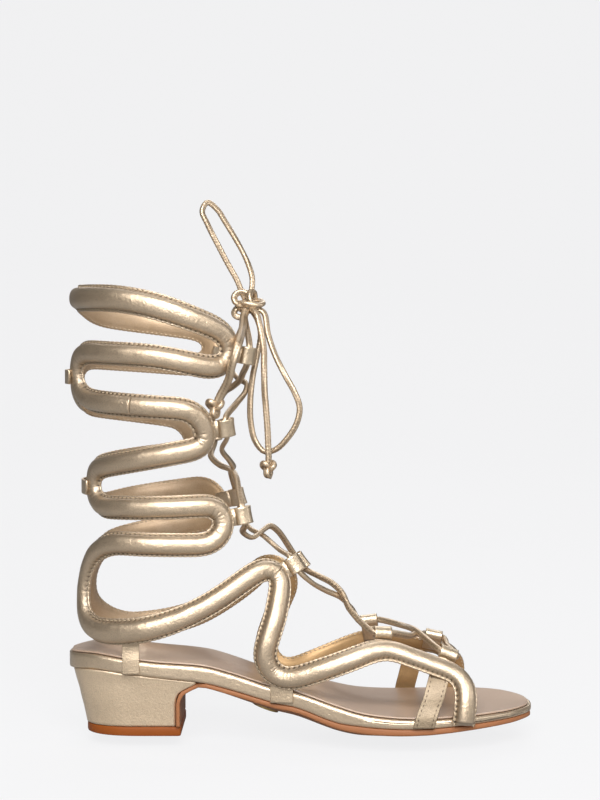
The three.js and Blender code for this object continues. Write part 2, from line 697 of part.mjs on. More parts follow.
const HEEL_TAB_TOP = {
  [LATERAL]: [{ z: 47, half: 26 }, { z: 55, half: 26.6 }],
  [MEDIAL]: [{ z: 44.4, half: 24.6 }, { z: 51, half: 25.6 }],
};
for (const { side, label } of SIDES) {
  const heelX = 0;
  const heelRows = [
    { x: heelX, z: profile(heelX, 'seam') + 0.4, out: besideBoard(side) },
    { x: heelX, z: profile(heelX, 'top') - 0.2, out: besideBoard(side) },
    ...HEEL_TAB_TOP[side].map(({ z, half }) => ({ x: heelX, z, out: () => half })),
  ];
  addPiece(`heel_tab_${label}`, stripDown(side, heelRows, TAB.heelWidth, TAB.thick), goldLeather);
  const waistX = side === LATERAL ? 78.7 : 80;
  const waistRows = [
    { x: waistX, z: profile(waistX, 'seam') + 1.2, out: besideBoard(side) },
    { x: waistX, z: profile(waistX, 'top') + 0.6, out: besideBoard(side) },
    { x: waistX, z: profile(waistX, 'top') + (side === LATERAL ? 5 : 2.6), out: besideBoard(side) },
  ];
  addPiece(`waist_tab_${label}`, stripDown(side, waistRows, TAB.waistWidth, TAB.thick), goldLeather);
}

// Flat straps that rise from the sole and are sewn under the padded strap near the toe.
const CROSS_PATH = {
  [LATERAL]: [
    { x: 152, z: 8.4 },
    { x: 153.4, z: 13.4 },
    { x: 155.4, z: 18.5 },
    { x: 157.6, z: 24 },
    { x: 159.4, z: 29.5 },
    { x: 161, z: 33.8 },
  ],
  [MEDIAL]: [
    { x: 146.5, z: 8.4 },
    { x: 147.4, z: 13.4 },
    { x: 148.6, z: 19 },
    { x: 150, z: 25 },
    { x: 151.6, z: 31 },
    { x: 153, z: 36 },
  ],
};
for (const { side, label } of SIDES) {
  const rows = CROSS_PATH[side].map(({ x, z }) => ({
    x,
    z,
    out: (at) => {
      const beside = planHalf(at, side) + GAP;
      return z < profile(at, 'top') + 1.6 ? beside : insideStrap(side, z, CROSS.thick + 0.5)(at);
    },
  }));
  addPiece(`cross_strap_${label}`, stripDown(side, rows, CROSS.width, CROSS.thick), goldLeather);
}

// Keepers: short strips round the outside of both straps where they come together at the back.
const KEEPERS = [
  { name: 'back_tab_upper', z: 188.6 },
  { name: 'back_tab_lower', z: 130.2 },
];
for (const { name, z } of KEEPERS) {
  const stations = [-1, -0.75, -0.5, -0.2, 0.2, 0.5, 0.75, 1];
  const rings = stations.map((share) => {
    const girth = share * KEEPER.reach;
    const foot = legPoint(MEDIAL, girth, z);
    const out = new THREE.Vector3(-1, 0, 0);
    out.y = girth / 42;
    out.normalize();
    const low = STRAP.crown + GAP;
    const spot = (lift, end) => foot.clone().addScaledVector(out, lift).add(new THREE.Vector3(0, 0, end));
    const half = KEEPER.height / 2;
    return [spot(low, -half), spot(low, half), spot(low + KEEPER.thick, half), spot(low + KEEPER.thick, -half)];
  });
  addPiece(name, loft(rings), goldLeather);
}

// ---- Lace loops ------------------------------------------------------------------------------

// A strip of leather folded round the lace, its tail under the strap's lining.
function loopStrip(out, halfOut, drop) {
  const { up, halfUp, wall, length } = LOOP;
  const tail = { from: 0.6, top: -drop, bottom: -drop - 1 };
  const angleAt = (height) => Math.PI - Math.asin((height - up) / halfUp);
  const shape = new THREE.Shape();
  shape.moveTo(tail.from, tail.bottom);
  shape.lineTo(tail.from, tail.top);
  shape.absellipse(out, up, halfOut, halfUp, angleAt(tail.top), angleAt(tail.bottom), true, 0);
  shape.closePath();
  const hole = new THREE.Path();
  hole.absellipse(out, up, halfOut - wall, halfUp - wall, 0, Math.PI * 2, false, 0);
  shape.holes.push(hole);
  const strip = new THREE.ExtrudeGeometry(shape, { depth: length, bevelEnabled: false, curveSegments: 8 });
  return strip.translate(0, 0, -length / 2);
}

// Where a loop sits: the strap's frame at that angle of its turn, with `off` pointing away from the turn.
function loopSeat(side, { turn, before }, { angle, out }) {
  const onTurn = routes[side].filter((f) => f.peg === turn);
  const away = (f) => Math.abs(f.facing - angle);
  const nearest = onTurn.reduce((best, f) => (away(f) < away(best) ? f : best));
  const seat = routes[side][routes[side].indexOf(nearest) - before];
  const off = seat.b.clone().multiplyScalar(side);
  return { place: seat.place, off, normal: seat.n, along: off.clone().cross(seat.n), out };
}

const loopSeats = LOOPS.map((row) => ({
  [LATERAL]: loopSeat(LATERAL, row, row.lateral),
  [MEDIAL]: loopSeat(MEDIAL, row, row.medial),
}));
loopSeats.forEach((pair, row) => {
  for (const { side, label } of SIDES) {
    const { place, off, normal, along, out } = pair[side];
    const seated = new THREE.Matrix4().makeBasis(off, normal, along).setPosition(place);
    const strip = loopStrip(out, LOOPS[row].halfOut, LOOPS[row].drop).applyMatrix4(seated);
    addPiece(`lace_loop_${label}_${row + 1}`, strip, goldLeather);
  }
});

// The two mouths of a loop, a little outside its ends: the upper one first.
function loopMouths({ place, off, normal, along, out }) {
  const middle = place.clone().addScaledVector(off, out).addScaledVector(normal, LOOP.up);
  const reach = LOOP.length / 2 + LACE.halfWide + 3 * GAP;
  const ends = [1, -1].map((way) => middle.clone().addScaledVector(along, way * reach));
  return ends[0].z - ends[0].x > ends[1].z - ends[1].x ? ends : ends.reverse();
}

// ---- Lace ------------------------------------------------------------------------------------

const LACE_SIDES = 8;
const laceSection = new THREE.Shape();
laceSection.absellipse(0, 0, LACE.halfWide, LACE.halfThick, 0, Math.PI * 2, false, 0);

function laceTube(points, spacing = 7) {
  const curve = new THREE.CatmullRomCurve3(points, false, 'centripetal');
  return new THREE.ExtrudeGeometry(laceSection, {
    steps: Math.max(3, Math.round(curve.getLength() / spacing)),
    curveSegments: LACE_SIDES / 2,
    extrudePath: curve,
    bevelEnabled: false,
  });
}

const joined = (...tubes) => fromManifold(tubes.map(toManifold).reduce((a, b) => a.add(b)));

// Crossings: from each loop's lower mouth to the facing pair's upper mouth, joined where they cross.
CROSSINGS.forEach((cross, row) => {
  const middle = new THREE.Vector3(cross.x, cross.y, cross.z);
  const strand = (side) => {
    const from = loopMouths(loopSeats[row][side])[1];
    const to = loopMouths(loopSeats[row + 1][-side])[0];
    return laceTube([from, middle, to]);
  };
  addPiece(`lace_crossing_${row + 1}`, joined(strand(LATERAL), strand(MEDIAL)), laceLeather);
});

// Above the top loops both ends rise and come together under the knot.
const underKnot = new THREE.Vector3(KNOT.x, KNOT.y, KNOT.z - KNOT.tall - GAP - LACE.halfWide);
const risers = [LATERAL, MEDIAL].map((side) => {
  const mouth = loopMouths(loopSeats[0][side])[0];
  return laceTube([mouth, mouth.clone().lerp(underKnot, 0.5), underKnot]);
});
addPiece('lace_crossing_6', joined(...risers), laceLeather);

const knot = new THREE.SphereGeometry(1, 12, 8);
knot.scale(KNOT.wide, KNOT.thick, KNOT.tall);
knot.translate(KNOT.x, KNOT.y, KNOT.z);
addPiece('lace_knot', knot, laceLeather);

// Bow and ends: routes chosen by eye, each a list of places that the lace passes.
const at = (x, y, z) => new THREE.Vector3(x, y, z);
const BOW = {
  lace_bow_up: [
    at(57.4, -5, 233.6),
    at(54.9, -5.4, 239.8),
    at(51.6, -5.9, 245.7),
    at(48.4, -6.5, 251.6),
    at(45.3, -7.1, 257.6),
    at(42.2, -7.7, 263.6),
    at(39.3, -8.1, 269.6),
    at(36.8, -8.1, 275.9),
    at(39.5, -5.9, 280.6),
    at(44.7, -4.1, 276.8),
    at(48.3, -3.2, 271.2),
    at(51.8, -2.4, 265.5),
    at(55.2, -2, 259.7),
    at(58.4, -2, 253.7),
    at(61.1, -2.3, 247.6),
    at(62.9, -2.9, 241.1),
    at(62.6, -3.6, 234.4),
  ],
  lace_bow_down: [
    at(69, -4, 222.6),
    at(71.4, -6, 211),
    at(75.2, -8, 200),
    at(80.4, -10, 189.6),
    at(85.6, -12, 180.2),
    at(88.1, -12, 172.6),
    at(86.7, -12, 164.6),
    at(81.8, -11, 156.4),
    at(75.4, -9.4, 150.2),
    at(69.6, -8.4, 149),
    at(64.6, -8, 154.6),
    at(62.2, -8, 164.6),
    at(62, -7.8, 176.6),
    at(63.4, -7, 189.6),
    at(66, -5.6, 201.8),
    at(67.4, -4.4, 212),
    at(65.4, -4, 219.6),
  ],
  lace_end_front: [
    at(65.4, -10.2, 222),
    at(66.8, -11.7, 217),
    at(68, -12.8, 211.8),
    at(68.9, -13.4, 206.5),
    at(69.4, -13.8, 201.2),
    at(69.4, -14.2, 195.8),
    at(69.5, -14.6, 190.4),
    at(69.6, -14.9, 185),
    at(69.8, -15.1, 179.6),
    at(70.3, -15.3, 174.2),
    at(70.7, -15.4, 168.8),
    at(71.1, -15.4, 163.4),
    at(71.4, -15.4, 158),
    at(71.6, -15.3, 152.6),
    at(71.8, -15.2, 147.2),
  ],
  lace_end_back: [
    at(58.6, -10.4, 219.8),
    at(58.6, -14.2, 217.9),
    at(58.6, -17.9, 216),
    at(58.5, -21.7, 214.2),
    at(58.1, -25.6, 212.5),
    at(57.8, -29.3, 210.6),
    at(57.4, -33, 208.6),
    at(56.8, -36.3, 206.1),
    at(55.7, -38.2, 202.5),
    at(54.5, -38.7, 198.5),
    at(53.3, -37.9, 194.6),
    at(52.5, -36.3, 190.7),
    at(51.3, -34.4, 187.2),
    at(49.6, -32.4, 183.9),
    at(47.6, -31.2, 180.4),
  ],
};
for (const [name, places] of Object.entries(BOW)) addPiece(name, laceTube(places, 6.5), laceLeather);

const END_KNOTS = [
  { name: 'lace_tip_front', x: 71.6, y: -15, z: 140.6, wide: 3.7, tall: 4.8 },
  { name: 'lace_tip_back', x: 44.4, y: -30, z: 173.4, wide: 4.2, tall: 4.8 },
];
for (const { name, x, y, z, wide, tall } of END_KNOTS) {
  const tip = new THREE.SphereGeometry(1, 10, 7);
  tip.scale(wide, wide, tall);
  tip.translate(x, y, z);
  addPiece(name, tip, laceLeather);
}

export default sandal;
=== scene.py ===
"""A right-foot gladiator sandal in pale gold leather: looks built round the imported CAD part.

Metres; +X to the toe, +Y to the inner side, +Z up, the floor at Z = 0. Tables are in millimetres.
"""

import math

import bpy
import numpy as np
from mathutils import Matrix, Vector


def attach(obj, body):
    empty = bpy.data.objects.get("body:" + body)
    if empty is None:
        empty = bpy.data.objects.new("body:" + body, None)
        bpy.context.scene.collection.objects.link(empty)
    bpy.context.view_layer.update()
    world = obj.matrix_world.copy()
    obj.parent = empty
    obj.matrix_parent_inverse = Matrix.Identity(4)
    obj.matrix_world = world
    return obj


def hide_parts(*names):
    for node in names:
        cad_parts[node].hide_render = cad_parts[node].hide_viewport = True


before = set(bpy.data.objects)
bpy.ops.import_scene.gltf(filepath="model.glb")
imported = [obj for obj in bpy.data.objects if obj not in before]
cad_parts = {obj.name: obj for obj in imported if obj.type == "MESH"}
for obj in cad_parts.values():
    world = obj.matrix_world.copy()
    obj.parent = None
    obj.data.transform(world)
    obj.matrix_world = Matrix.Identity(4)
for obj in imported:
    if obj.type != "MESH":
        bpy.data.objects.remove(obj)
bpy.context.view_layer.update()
MM = 0.001

# ---- Camera -----------------------------------------------------------------------------------
# A portrait view from the outer side, a little above the ground and about 0.9 m away, with a long
# lens, as product photographs are taken.
TARGET = Vector((0.0883, 0.0, 0.176))
CAMERA_DISTANCE = 0.9
CAMERA_PITCH = math.radians(2.5)

camera = bpy.data.objects.new("camera", bpy.data.cameras.new("camera"))
camera.data.lens = 75.84
camera.data.sensor_width = 36
back_off = Vector((0, -math.cos(CAMERA_PITCH), math.sin(CAMERA_PITCH)))
camera.location = TARGET + CAMERA_DISTANCE * back_off
camera.rotation_euler = (-back_off).to_track_quat("-Z", "Y").to_euler()
bpy.context.collection.objects.link(camera)
bpy.context.scene.camera = camera


# ---- Shared helpers ---------------------------------------------------------------------------
# Node trees, leathers, lines and meshes that several pieces use.
def fill(node, key, value):
    """Links a socket to a node's input, or sets the input's own value."""
    if isinstance(value, bpy.types.NodeSocket):
        node.id_data.links.new(value, node.inputs[key])
    else:
        node.inputs[key].default_value = value


def node_adder(tree):
    """A helper that adds a node to the tree, with its properties and inputs set."""
    def add(kind, inputs=(), **properties):
        node = tree.nodes.new(kind)
        for key, value in properties.items():
            setattr(node, key, value)
        for key, value in dict(inputs).items():
            fill(node, key, value)
        return node

    return add


def node_material(name):
    """A material, a helper that adds nodes to it and one that feeds its surface."""
    material = bpy.data.materials.new(name)
    material.use_nodes = True
    tree = material.node_tree
    surface = tree.nodes["Principled BSDF"]
    return material, node_adder(tree), lambda socket, value: fill(surface, socket, value)


def ramp(add, factor, *stops):
    """A colour ramp with (place, value) stops; a value is a grey or an RGB triple."""
    node = add("ShaderNodeValToRGB", {0: factor})
    elements = node.color_ramp.elements
    while len(elements) < len(stops):
        elements.new(0.5)
    for element, (place, value) in zip(elements, stops):
        element.position = place
        element.color = (value, value, value, 1) if isinstance(value, float) else (*value, 1)
    return node.outputs[0]


def mix(add, factor, a, b):
    """Mixes two colours; each argument is a socket or a value."""
    node = add("ShaderNodeMix", {0: factor}, data_type="RGBA")
    for key, value in ((6, a), (7, b)):
        fill(node, key, value if isinstance(value, bpy.types.NodeSocket) else (*value, 1))
    return node.outputs[2]


def bumped(add, *layers):
    """Bump nodes in a chain; each layer is (height socket, strength, distance in metres)."""
    normal = None
    for height, strength, distance in layers:
        inputs = {"Height": height, "Strength": strength, "Distance": distance}
        if normal is not None:
            inputs["Normal"] = normal
        normal = add("ShaderNodeBump", inputs).outputs[0]
    return normal


def object_noise(add, scale, detail=3.0, roughness=0.6, stretch=None):
    """Noise on Object coordinates; scale is in cycles per metre."""
    place = add("ShaderNodeTexCoord").outputs["Object"]
    if stretch is not None:
        place = add("ShaderNodeMapping", {0: place, 3: stretch}).outputs[0]
    inputs = {"Vector": place, "Scale": scale, "Detail": detail, "Roughness": roughness}
    return add("ShaderNodeTexNoise", inputs).outputs["Fac"]


def darker(colour, share):
    return tuple(share * c for c in colour)


def gold_leather(name, colour, dark, roughness, grain_bump, metal=0.9, coat=0.8):
    """Foiled leather: a metallic film over fine grain, painted darker and duller where the shade attribute
    marks painted shade.
    """
    material, add, feed = node_material(name)
    patches = object_noise(add, 55.0, 4.0)
    grain = object_noise(add, 2400.0, 4.0, 0.7)
    pores = add("ShaderNodeTexVoronoi", {
        "Vector": add("ShaderNodeTexCoord").outputs["Object"],
        "Scale": 1500.0,
    }).outputs["Distance"]
    shade = add("ShaderNodeAttribute", attribute_name="shade").outputs["Fac"]
    tone = mix(add, ramp(add, patches, (0.3, 0.0), (0.72, 1.0)), colour, darker(colour, 0.86))
    tone = mix(add, ramp(add, grain, (0.32, 0.55), (0.5, 0.0)), tone, dark)
    feed("Base Color", mix(add, shade, tone, dark))
    feed("Metallic", metal)
    feed("Coat Weight", coat)
    feed("Coat IOR", 1.75)
    feed("Coat Roughness", 0.42)
    rough = roughness - 0.08
    for source, share in ((patches, 0.16), (shade, 0.25)):
        rough = add("ShaderNodeMath", {0: source, 1: share, 2: rough}, operation="MULTIPLY_ADD").outputs[0]
    feed("Roughness", rough)
    swell = object_noise(add, 230.0, 2.0, 0.5)
    crinkle = object_noise(add, 800.0, 4.0, 0.6)
    fine = (pores, grain_bump, 0.00012), (grain, grain_bump, 0.00014)
    feed("Normal", bumped(add, (swell, 0.26, 0.0008), (crinkle, 0.5, 0.0005), *fine))
    return material


def distance_along(line):
    """The distance walked along a line at each of its points."""
    return np.concatenate([[0], np.cumsum(np.linalg.norm(np.diff(line, axis=0), axis=1))])


def at_distances(line, walked, at):
    """Places at the given distances along a line."""
    return np.stack([np.interp(at, walked, line[:, k]) for k in range(line.shape[1])], axis=1)


def smooth_path(points, spacing):
    """A centripetal Catmull-Rom curve through points, sampled at even spacing."""
    p = np.asarray(points, float)
    p = np.vstack([2 * p[0] - p[1], p, 2 * p[-1] - p[-2]])
    samples = []
    for i in range(1, len(p) - 2):
        knots = np.cumsum([0.0] + [np.linalg.norm(p[i + k] - p[i + k - 1]) ** 0.5 for k in (0, 1, 2)])
        t = np.linspace(knots[1], knots[2], 40, endpoint=i == len(p) - 3)[:, None]

        def between(a, b, ta, tb):
            return ((tb - t) * a + (t - ta) * b) / (tb - ta)

        a = [between(p[i - 1 + k], p[i + k], knots[k], knots[k + 1]) for k in range(3)]
        b = [between(a[k], a[k + 1], knots[k], knots[k + 2]) for k in range(2)]
        samples.append(between(b[0], b[1], knots[1], knots[2]))
    line = np.vstack(samples)
    walked = distance_along(line)
    count = max(8, int(round(walked[-1] / spacing)))
    return at_distances(line, walked, np.linspace(0, walked[-1], count + 1))


def unit(v):
    return v / np.maximum(np.linalg.norm(v, axis=-1, keepdims=True), 1e-12)


def tangents(line, closed=False):
    if closed:
        return unit(np.roll(line, -1, axis=0) - np.roll(line, 1, axis=0))
    return unit(np.gradient(line, axis=0))


def steady_normals(line, start, closed=False):
    """Normals that turn as little as possible along a line."""
    t = tangents(line, closed)
    normals = [unit(start - t[0] * np.dot(start, t[0]))]
    for i in range(1, len(line)):
        n = normals[-1] - t[i] * np.dot(normals[-1], t[i])
        normals.append(unit(n))
    return np.array(normals)


def grid_mesh(name, rings, material, closed_path=False, shade=None):
    """A closed mesh through rings (stations x points x 3, in mm), with an optional shade attribute."""
    stations, count, _ = rings.shape
    verts = rings.reshape(-1, 3) * MM
    faces = []
    spans = stations if closed_path else stations - 1
    for r in range(spans):
        a = r * count
        b = ((r + 1) % stations) * count
        faces += [(a + k, a + (k + 1) % count, b + (k + 1) % count, b + k) for k in range(count)]
    if not closed_path:
        faces.append(tuple(range(count))[::-1])
        faces.append(tuple((stations - 1) * count + k for k in range(count)))
    mesh = bpy.data.meshes.new(name)
    mesh.from_pydata(verts.tolist(), [], faces)
    if shade is not None:
        layer = mesh.attributes.new("shade", "FLOAT", "POINT")
        layer.data.foreach_set("value", np.asarray(shade, np.float32).reshape(-1))
    mesh.materials.append(material)
    piece = bpy.data.objects.new(name, mesh)
    bpy.context.collection.objects.link(piece)
    bpy.context.view_layer.objects.active = piece
    mesh.update()
    if sum_volume(mesh) < 0:
        mesh.flip_normals()
    mesh.polygons.foreach_set("use_smooth", [True] * len(mesh.polygons))
    return piece


def sum_volume(mesh):
    """Signed volume, to tell whether faces point outwards."""
    mesh.calc_loop_triangles()
    co = np.zeros(len(mesh.vertices) * 3)
    mesh.vertices.foreach_get("co", co)
    tris = np.zeros(len(mesh.loop_triangles) * 3, int)
    mesh.loop_triangles.foreach_get("vertices", tris)
    a, b, c = co.reshape(-1, 3)[tris].reshape(-1, 3, 3).transpose(1, 0, 2)
    return float(np.einsum("ij,ij->i", a, np.cross(b, c)).sum())


def dress(piece, slot, *nodes):
    """Hides the nodes a piece replaces, if any; every piece rides the root. The slot argument is not used."""
    if nodes:
        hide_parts(*nodes)
    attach(piece, "root")


def join(name, parts):
    """Joins pieces into one object."""
    bpy.ops.object.select_all(action="DESELECT")
    for part in parts:
        part.select_set(True)
    bpy.context.view_layer.objects.active = parts[0]
    bpy.ops.object.join()
    parts[0].name = name
    parts[0].data.name = name
    return parts[0]


# ---- Bow and lace ends ------------------------------------------------------------------------
# A narrow strip of the gold leather, folded and sewn to a cord about 3 mm across. Two loops and two
# ends leave the knot above the instep; each hangs or stands as it was tied.
lace_leather = gold_leather("lace_leather", (0.62, 0.47, 0.31), (0.14, 0.09, 0.045), 0.38, 0.6, 0.82)

LACE_SIDES = 16
LACE_GROOVE = 0.24
LACE_SQUARING = 0.85
LACE_FIRST_NORMAL = np.array((0.2, -1, 0.3))


def lace_rings(line, wide, thick, ribs=0.0, closed=False):
    """Sections of the folded lace along a line: two soft rounds with the sewn groove between."""
    t = tangents(line, closed)
    n = steady_normals(line, LACE_FIRST_NORMAL, closed)
    b = np.cross(t, n)
    step = np.linalg.norm(np.diff(line, axis=0), axis=1).mean()
    walked = np.arange(len(line)) * step
    turn = 0.35 * np.sin(walked / 11.0) + 0.2 * np.sin(walked / 4.7 + 1.0)
    angle = np.linspace(0, 2 * math.pi, LACE_SIDES, endpoint=False)
    above, below = (np.exp(-((angle - middle * math.pi) / 0.3) ** 2) for middle in (0.5, 1.5))
    groove = LACE_GROOVE * (above - below)
    pucker = 1 + 0.035 * np.sin(walked * 2.6)[:, None] * np.sin(angle)[None, :]
    rib = 1 + ribs * np.sin(walked * 2 * math.pi / 1.3)[:, None] * np.cos(3 * angle)[None, :]
    across = np.sign(np.cos(angle)) * np.abs(np.cos(angle)) ** LACE_SQUARING * wide
    up = np.sign(np.sin(angle)) * np.abs(np.sin(angle)) ** LACE_SQUARING * thick - groove
    across = across[None, :] * pucker * rib
    up = up[None, :] * pucker * rib
    c, s = np.cos(turn)[:, None], np.sin(turn)[:, None]
    x = across * c - up * s
    y = across * s + up * c
    rings = line[:, None, :] + x[..., None] * b[:, None, :] + y[..., None] * n[:, None, :]
    # Painted shade in the sewn groove, broken into dashes that stand for the stitches.
    stitch = 0.4 + 0.6 * np.sin(math.pi * walked / 1.5) ** 2
    shade = stitch[:, None] * np.abs(groove)[None, :] / LACE_GROOVE
    return rings, shade


KNOT = np.array((60.5, -4.0, 227.0))
BOW = {
    "bow_loop_up": [
        (57.4, -5, 233.6), (54.9, -5.4, 239.8), (51.6, -5.9, 245.7), (48.4, -6.5, 251.6),
        (45.3, -7.1, 257.6), (42.2, -7.7, 263.6), (39.3, -8.1, 269.6), (36.8, -8.1, 275.9),
        (39.5, -5.9, 280.6), (44.7, -4.1, 276.8), (48.3, -3.2, 271.2), (51.8, -2.4, 265.5),
        (55.2, -2, 259.7), (58.4, -2, 253.7), (61.1, -2.3, 247.6), (62.9, -2.9, 241.1),
        (62.6, -3.6, 234.4),
    ],
    "bow_loop_down": [
        (69, -4, 222.6), (71.4, -6, 211), (75.2, -8, 200), (80.4, -10, 189.6), (85.6, -12, 180.2),
        (88.1, -12, 172.6), (86.7, -12, 164.6), (81.8, -11, 156.4), (75.4, -9.4, 150.2),
        (69.6, -8.4, 149), (64.6, -8, 154.6), (62.2, -8, 164.6), (62, -7.8, 176.6), (63.4, -7, 189.6),
        (66, -5.6, 201.8), (67.4, -4.4, 212), (65.4, -4, 219.6),
    ],
    "lace_front_end": [
        (65.4, -10.2, 222), (66.8, -11.7, 217), (68, -12.8, 211.8), (68.9, -13.4, 206.5),
        (69.4, -13.8, 201.2), (69.4, -14.2, 195.8), (69.5, -14.6, 190.4), (69.6, -14.9, 185),
        (69.8, -15.1, 179.6), (70.3, -15.3, 174.2), (70.7, -15.4, 168.8), (71.1, -15.4, 163.4),
        (71.4, -15.4, 158), (71.6, -15.3, 152.6), (71.8, -15.2, 147.2),
    ],
    "lace_back_end": [
        (58.6, -10.4, 219.8), (58.6, -14.2, 217.9), (58.6, -17.9, 216), (58.5, -21.7, 214.2),
        (58.1, -25.6, 212.5), (57.8, -29.3, 210.6), (57.4, -33, 208.6), (56.8, -36.3, 206.1),
        (55.7, -38.2, 202.5), (54.5, -38.7, 198.5), (53.3, -37.9, 194.6), (52.5, -36.3, 190.7),
        (51.3, -34.4, 187.2), (49.6, -32.4, 183.9), (47.6, -31.2, 180.4),
    ],
}
# Half width, half thickness and rib depth of each.
BOW_SIZES = {
    "bow_loop_up": (1.5, 1.3, 0.05),
    "bow_loop_down": (1.6, 1.35, 0.05),
    "lace_front_end": (1.65, 1.45, 0.09),
    "lace_back_end": (2.1, 1.7, 0.1),
}
BOW_NODES = {
    "bow_loop_up": "lace_bow_up",
    "bow_loop_down": "lace_bow_down",
    "lace_front_end": "lace_end_front",
    "lace_back_end": "lace_end_back",
}
# The knot in each end: piece, node, place and size.
TIPS = {
    "lace_front_end": ("end_knot_front", "lace_tip_front", (71.6, -15, 140.6), 1.35),
    "lace_back_end": ("end_knot_back", "lace_tip_back", (44.4, -30, 173.4), 1.6),
}


# How far towards the knot's middle a cord's start and a loop's end are drawn in.
START_TUCK = 0.6
END_TUCK = 0.75
CORD_STEP = 0.8


def knot_tube(name, line, wide, thick, closed=True):
    rings, shade = lace_rings(line, wide, thick, closed=closed)
    return grid_mesh(name, rings, lace_leather, closed_path=closed, shade=shade)


def overhand(name, at, size):
    """The plain knot tied in a lace's end, with the cut end sticking out below."""
    angle = np.linspace(0, 2 * math.pi, 90, endpoint=False)
    radius = 1.15 * size
    x = radius * (np.sin(angle) + 1.25 * np.sin(2 * angle))
    z = radius * 1.25 * (np.cos(angle) - 1.25 * np.cos(2 * angle)) + 0.3
    y = -radius * 1.2 * np.sin(3 * angle)
    ring = np.stack([x, y, z], axis=1) * 0.92 + np.array(at)
    stub = smooth_path(np.array(at) + [(0, 0, 0), (0.9, 0.3, -3.2), (0.2, 0.4, -5.2)], 0.6)
    return join(name, [
        knot_tube(name, ring, 1.75, 1.6),
        knot_tube(name + "_stub", stub, 1.5, 1.1, closed=False),
    ])


for name, route in BOW.items():
    is_end = name in TIPS
    first, last = np.array(route[0]), np.array(route[-1])
    away = TIPS[name][2] if is_end else last + END_TUCK * (KNOT - last)
    line = smooth_path([first + START_TUCK * (KNOT - first), *route, away], CORD_STEP)
    wide, thick, ribs = BOW_SIZES[name]
    rings, shade = lace_rings(line, wide, thick, ribs)
    piece = grid_mesh(name, rings, lace_leather, shade=shade)
    dress(piece, "lace_leather", BOW_NODES[name])
    tied = []
    if is_end:
        tip, node, at, size = TIPS[name]
        tied = [overhand(tip, at, size)]
        dress(tied[0], "lace_leather", node)

# ---- Knot -------------------------------------------------------------------------------------
# The bow's own knot: the same lace wrapped round itself, with two small turns pulled tight on the
# left and a wrap over the front. Each turn is a tube along a small tilted ring: its middle from the
# knot's, its two radii, yaw and pitch in degrees, and the tube's half width.
KNOT_TURNS = [
    ((-3.2, -1.6, 3.0), 3.5, 3.1, 12, 84, 1.5),
    ((-4.0, -0.8, -4.2), 2.9, 2.5, -18, 78, 1.4),
    ((2.0, 0.2, 0.6), 5.2, 3.6, 6, 12, 1.6),
    ((2.2, 0.0, 2.0), 3.6, 4.4, 74, 88, 1.55),
    ((0.4, 0.6, -1.6), 4.4, 3.4, -20, -24, 1.5),
]
TURN_SPREAD = 1.12
TURN_FULLNESS = 1.15
TURN_HALF_THICK = 1.45
turns = []
for i, (middle, a, b, yaw, pitch, wide) in enumerate(KNOT_TURNS):
    angle = np.linspace(0, 2 * math.pi, 72, endpoint=False)
    flat = np.stack([a * np.cos(angle), b * np.sin(angle), 0.5 * np.sin(2 * angle)], axis=1)
    tilt = np.array(Matrix.Rotation(math.radians(yaw), 3, "Z") @ Matrix.Rotation(math.radians(pitch), 3, "X"))
    ring = TURN_SPREAD * flat @ tilt.T + KNOT + np.array(middle)
    turns.append(knot_tube("turn_%d" % i, ring, TURN_FULLNESS * wide, TURN_HALF_THICK))
dress(join("bow_knot", turns), "lace_leather", "lace_knot")

# ---- Padded straps ----------------------------------------------------------------------------
# The upper: strips of foiled leather folded over a soft filler and sewn along both edges, backed with
# tan lining. On each side one strap runs to and fro from the back seam to the toe round the last.
LATERAL, MEDIAL = -1, 1
SIDE_NAMES = {LATERAL: "lateral", MEDIAL: "medial"}
GAP = 0.3


def table(*rows):
    """Rows of numbers, keyed by the first column, as arrays for smooth look-up."""
    data = np.array(rows, float)
    slopes = np.empty_like(data)
    for column in range(1, data.shape[1]):
        last = len(data) - 1
        for j in range(len(data)):
            a, b = max(j - 1, 0), min(j + 1, last)
            slopes[j, column] = (data[b, column] - data[a, column]) / (data[b, 0] - data[a, 0])
    return data, slopes


def look_up(tab, at, column):
    """A smooth cubic between the rows; at may be an array."""
    data, slopes = tab
    at = np.clip(np.asarray(at, float), data[0, 0], data[-1, 0])
    i = np.clip(np.searchsorted(data[:, 0], at, side="right") - 1, 0, len(data) - 2)
    step = data[i + 1, 0] - data[i, 0]
    t = (at - data[i, 0]) / step
    rise = data[i + 1, column] - data[i, column]
    m0 = slopes[i, column] * step
    m1 = slopes[i + 1, column] * step
    return data[i, column] + m0 * t + (3 * rise - 2 * m0 - m1) * t ** 2 + (m0 + m1 - 2 * rise) * t ** 3


def row_at(tab, at, *columns):
    """The given columns of a table at one place."""
    return [float(look_up(tab, at, c)) for c in columns]


# Level sections of the last: z, back, widest place, front, half breadth, skew.
BACK, WIDE, FRONT, HALF, SKEW = 1, 2, 3, 4, 5
LEG = table(
    (-10, -26, 30, 190, 27, 0),
    (30, -26, 28, 180, 29.5, 0),
    (45, -26, 22, 160, 32.5, 0),
    (60, -26.7, 14, 127, 33.5, 0),
    (79, -25.3, 10, 104, 32.5, 0),
    (94, -23.6, 12, 89, 31.5, 0.02),
    (121, -21.3, 16, 63, 32, 0.1),
    (144, -22.5, 17, 57, 34, 0.14),
    (167, -28, 16, 56, 37, 0.14),
    (205, -30.2, 17, 64, 40.5, 0.08),
    (250, -28, 19, 68, 42, 0),
)
# The height of the instep's middle line at each station.
INSTEP = table(
    (60, 122),
    (90, 94),
    (106, 79),
    (130, 61),
    (150, 52),
    (165, 46),
    (180, 40),
    (195, 31),
    (211, 18),
)
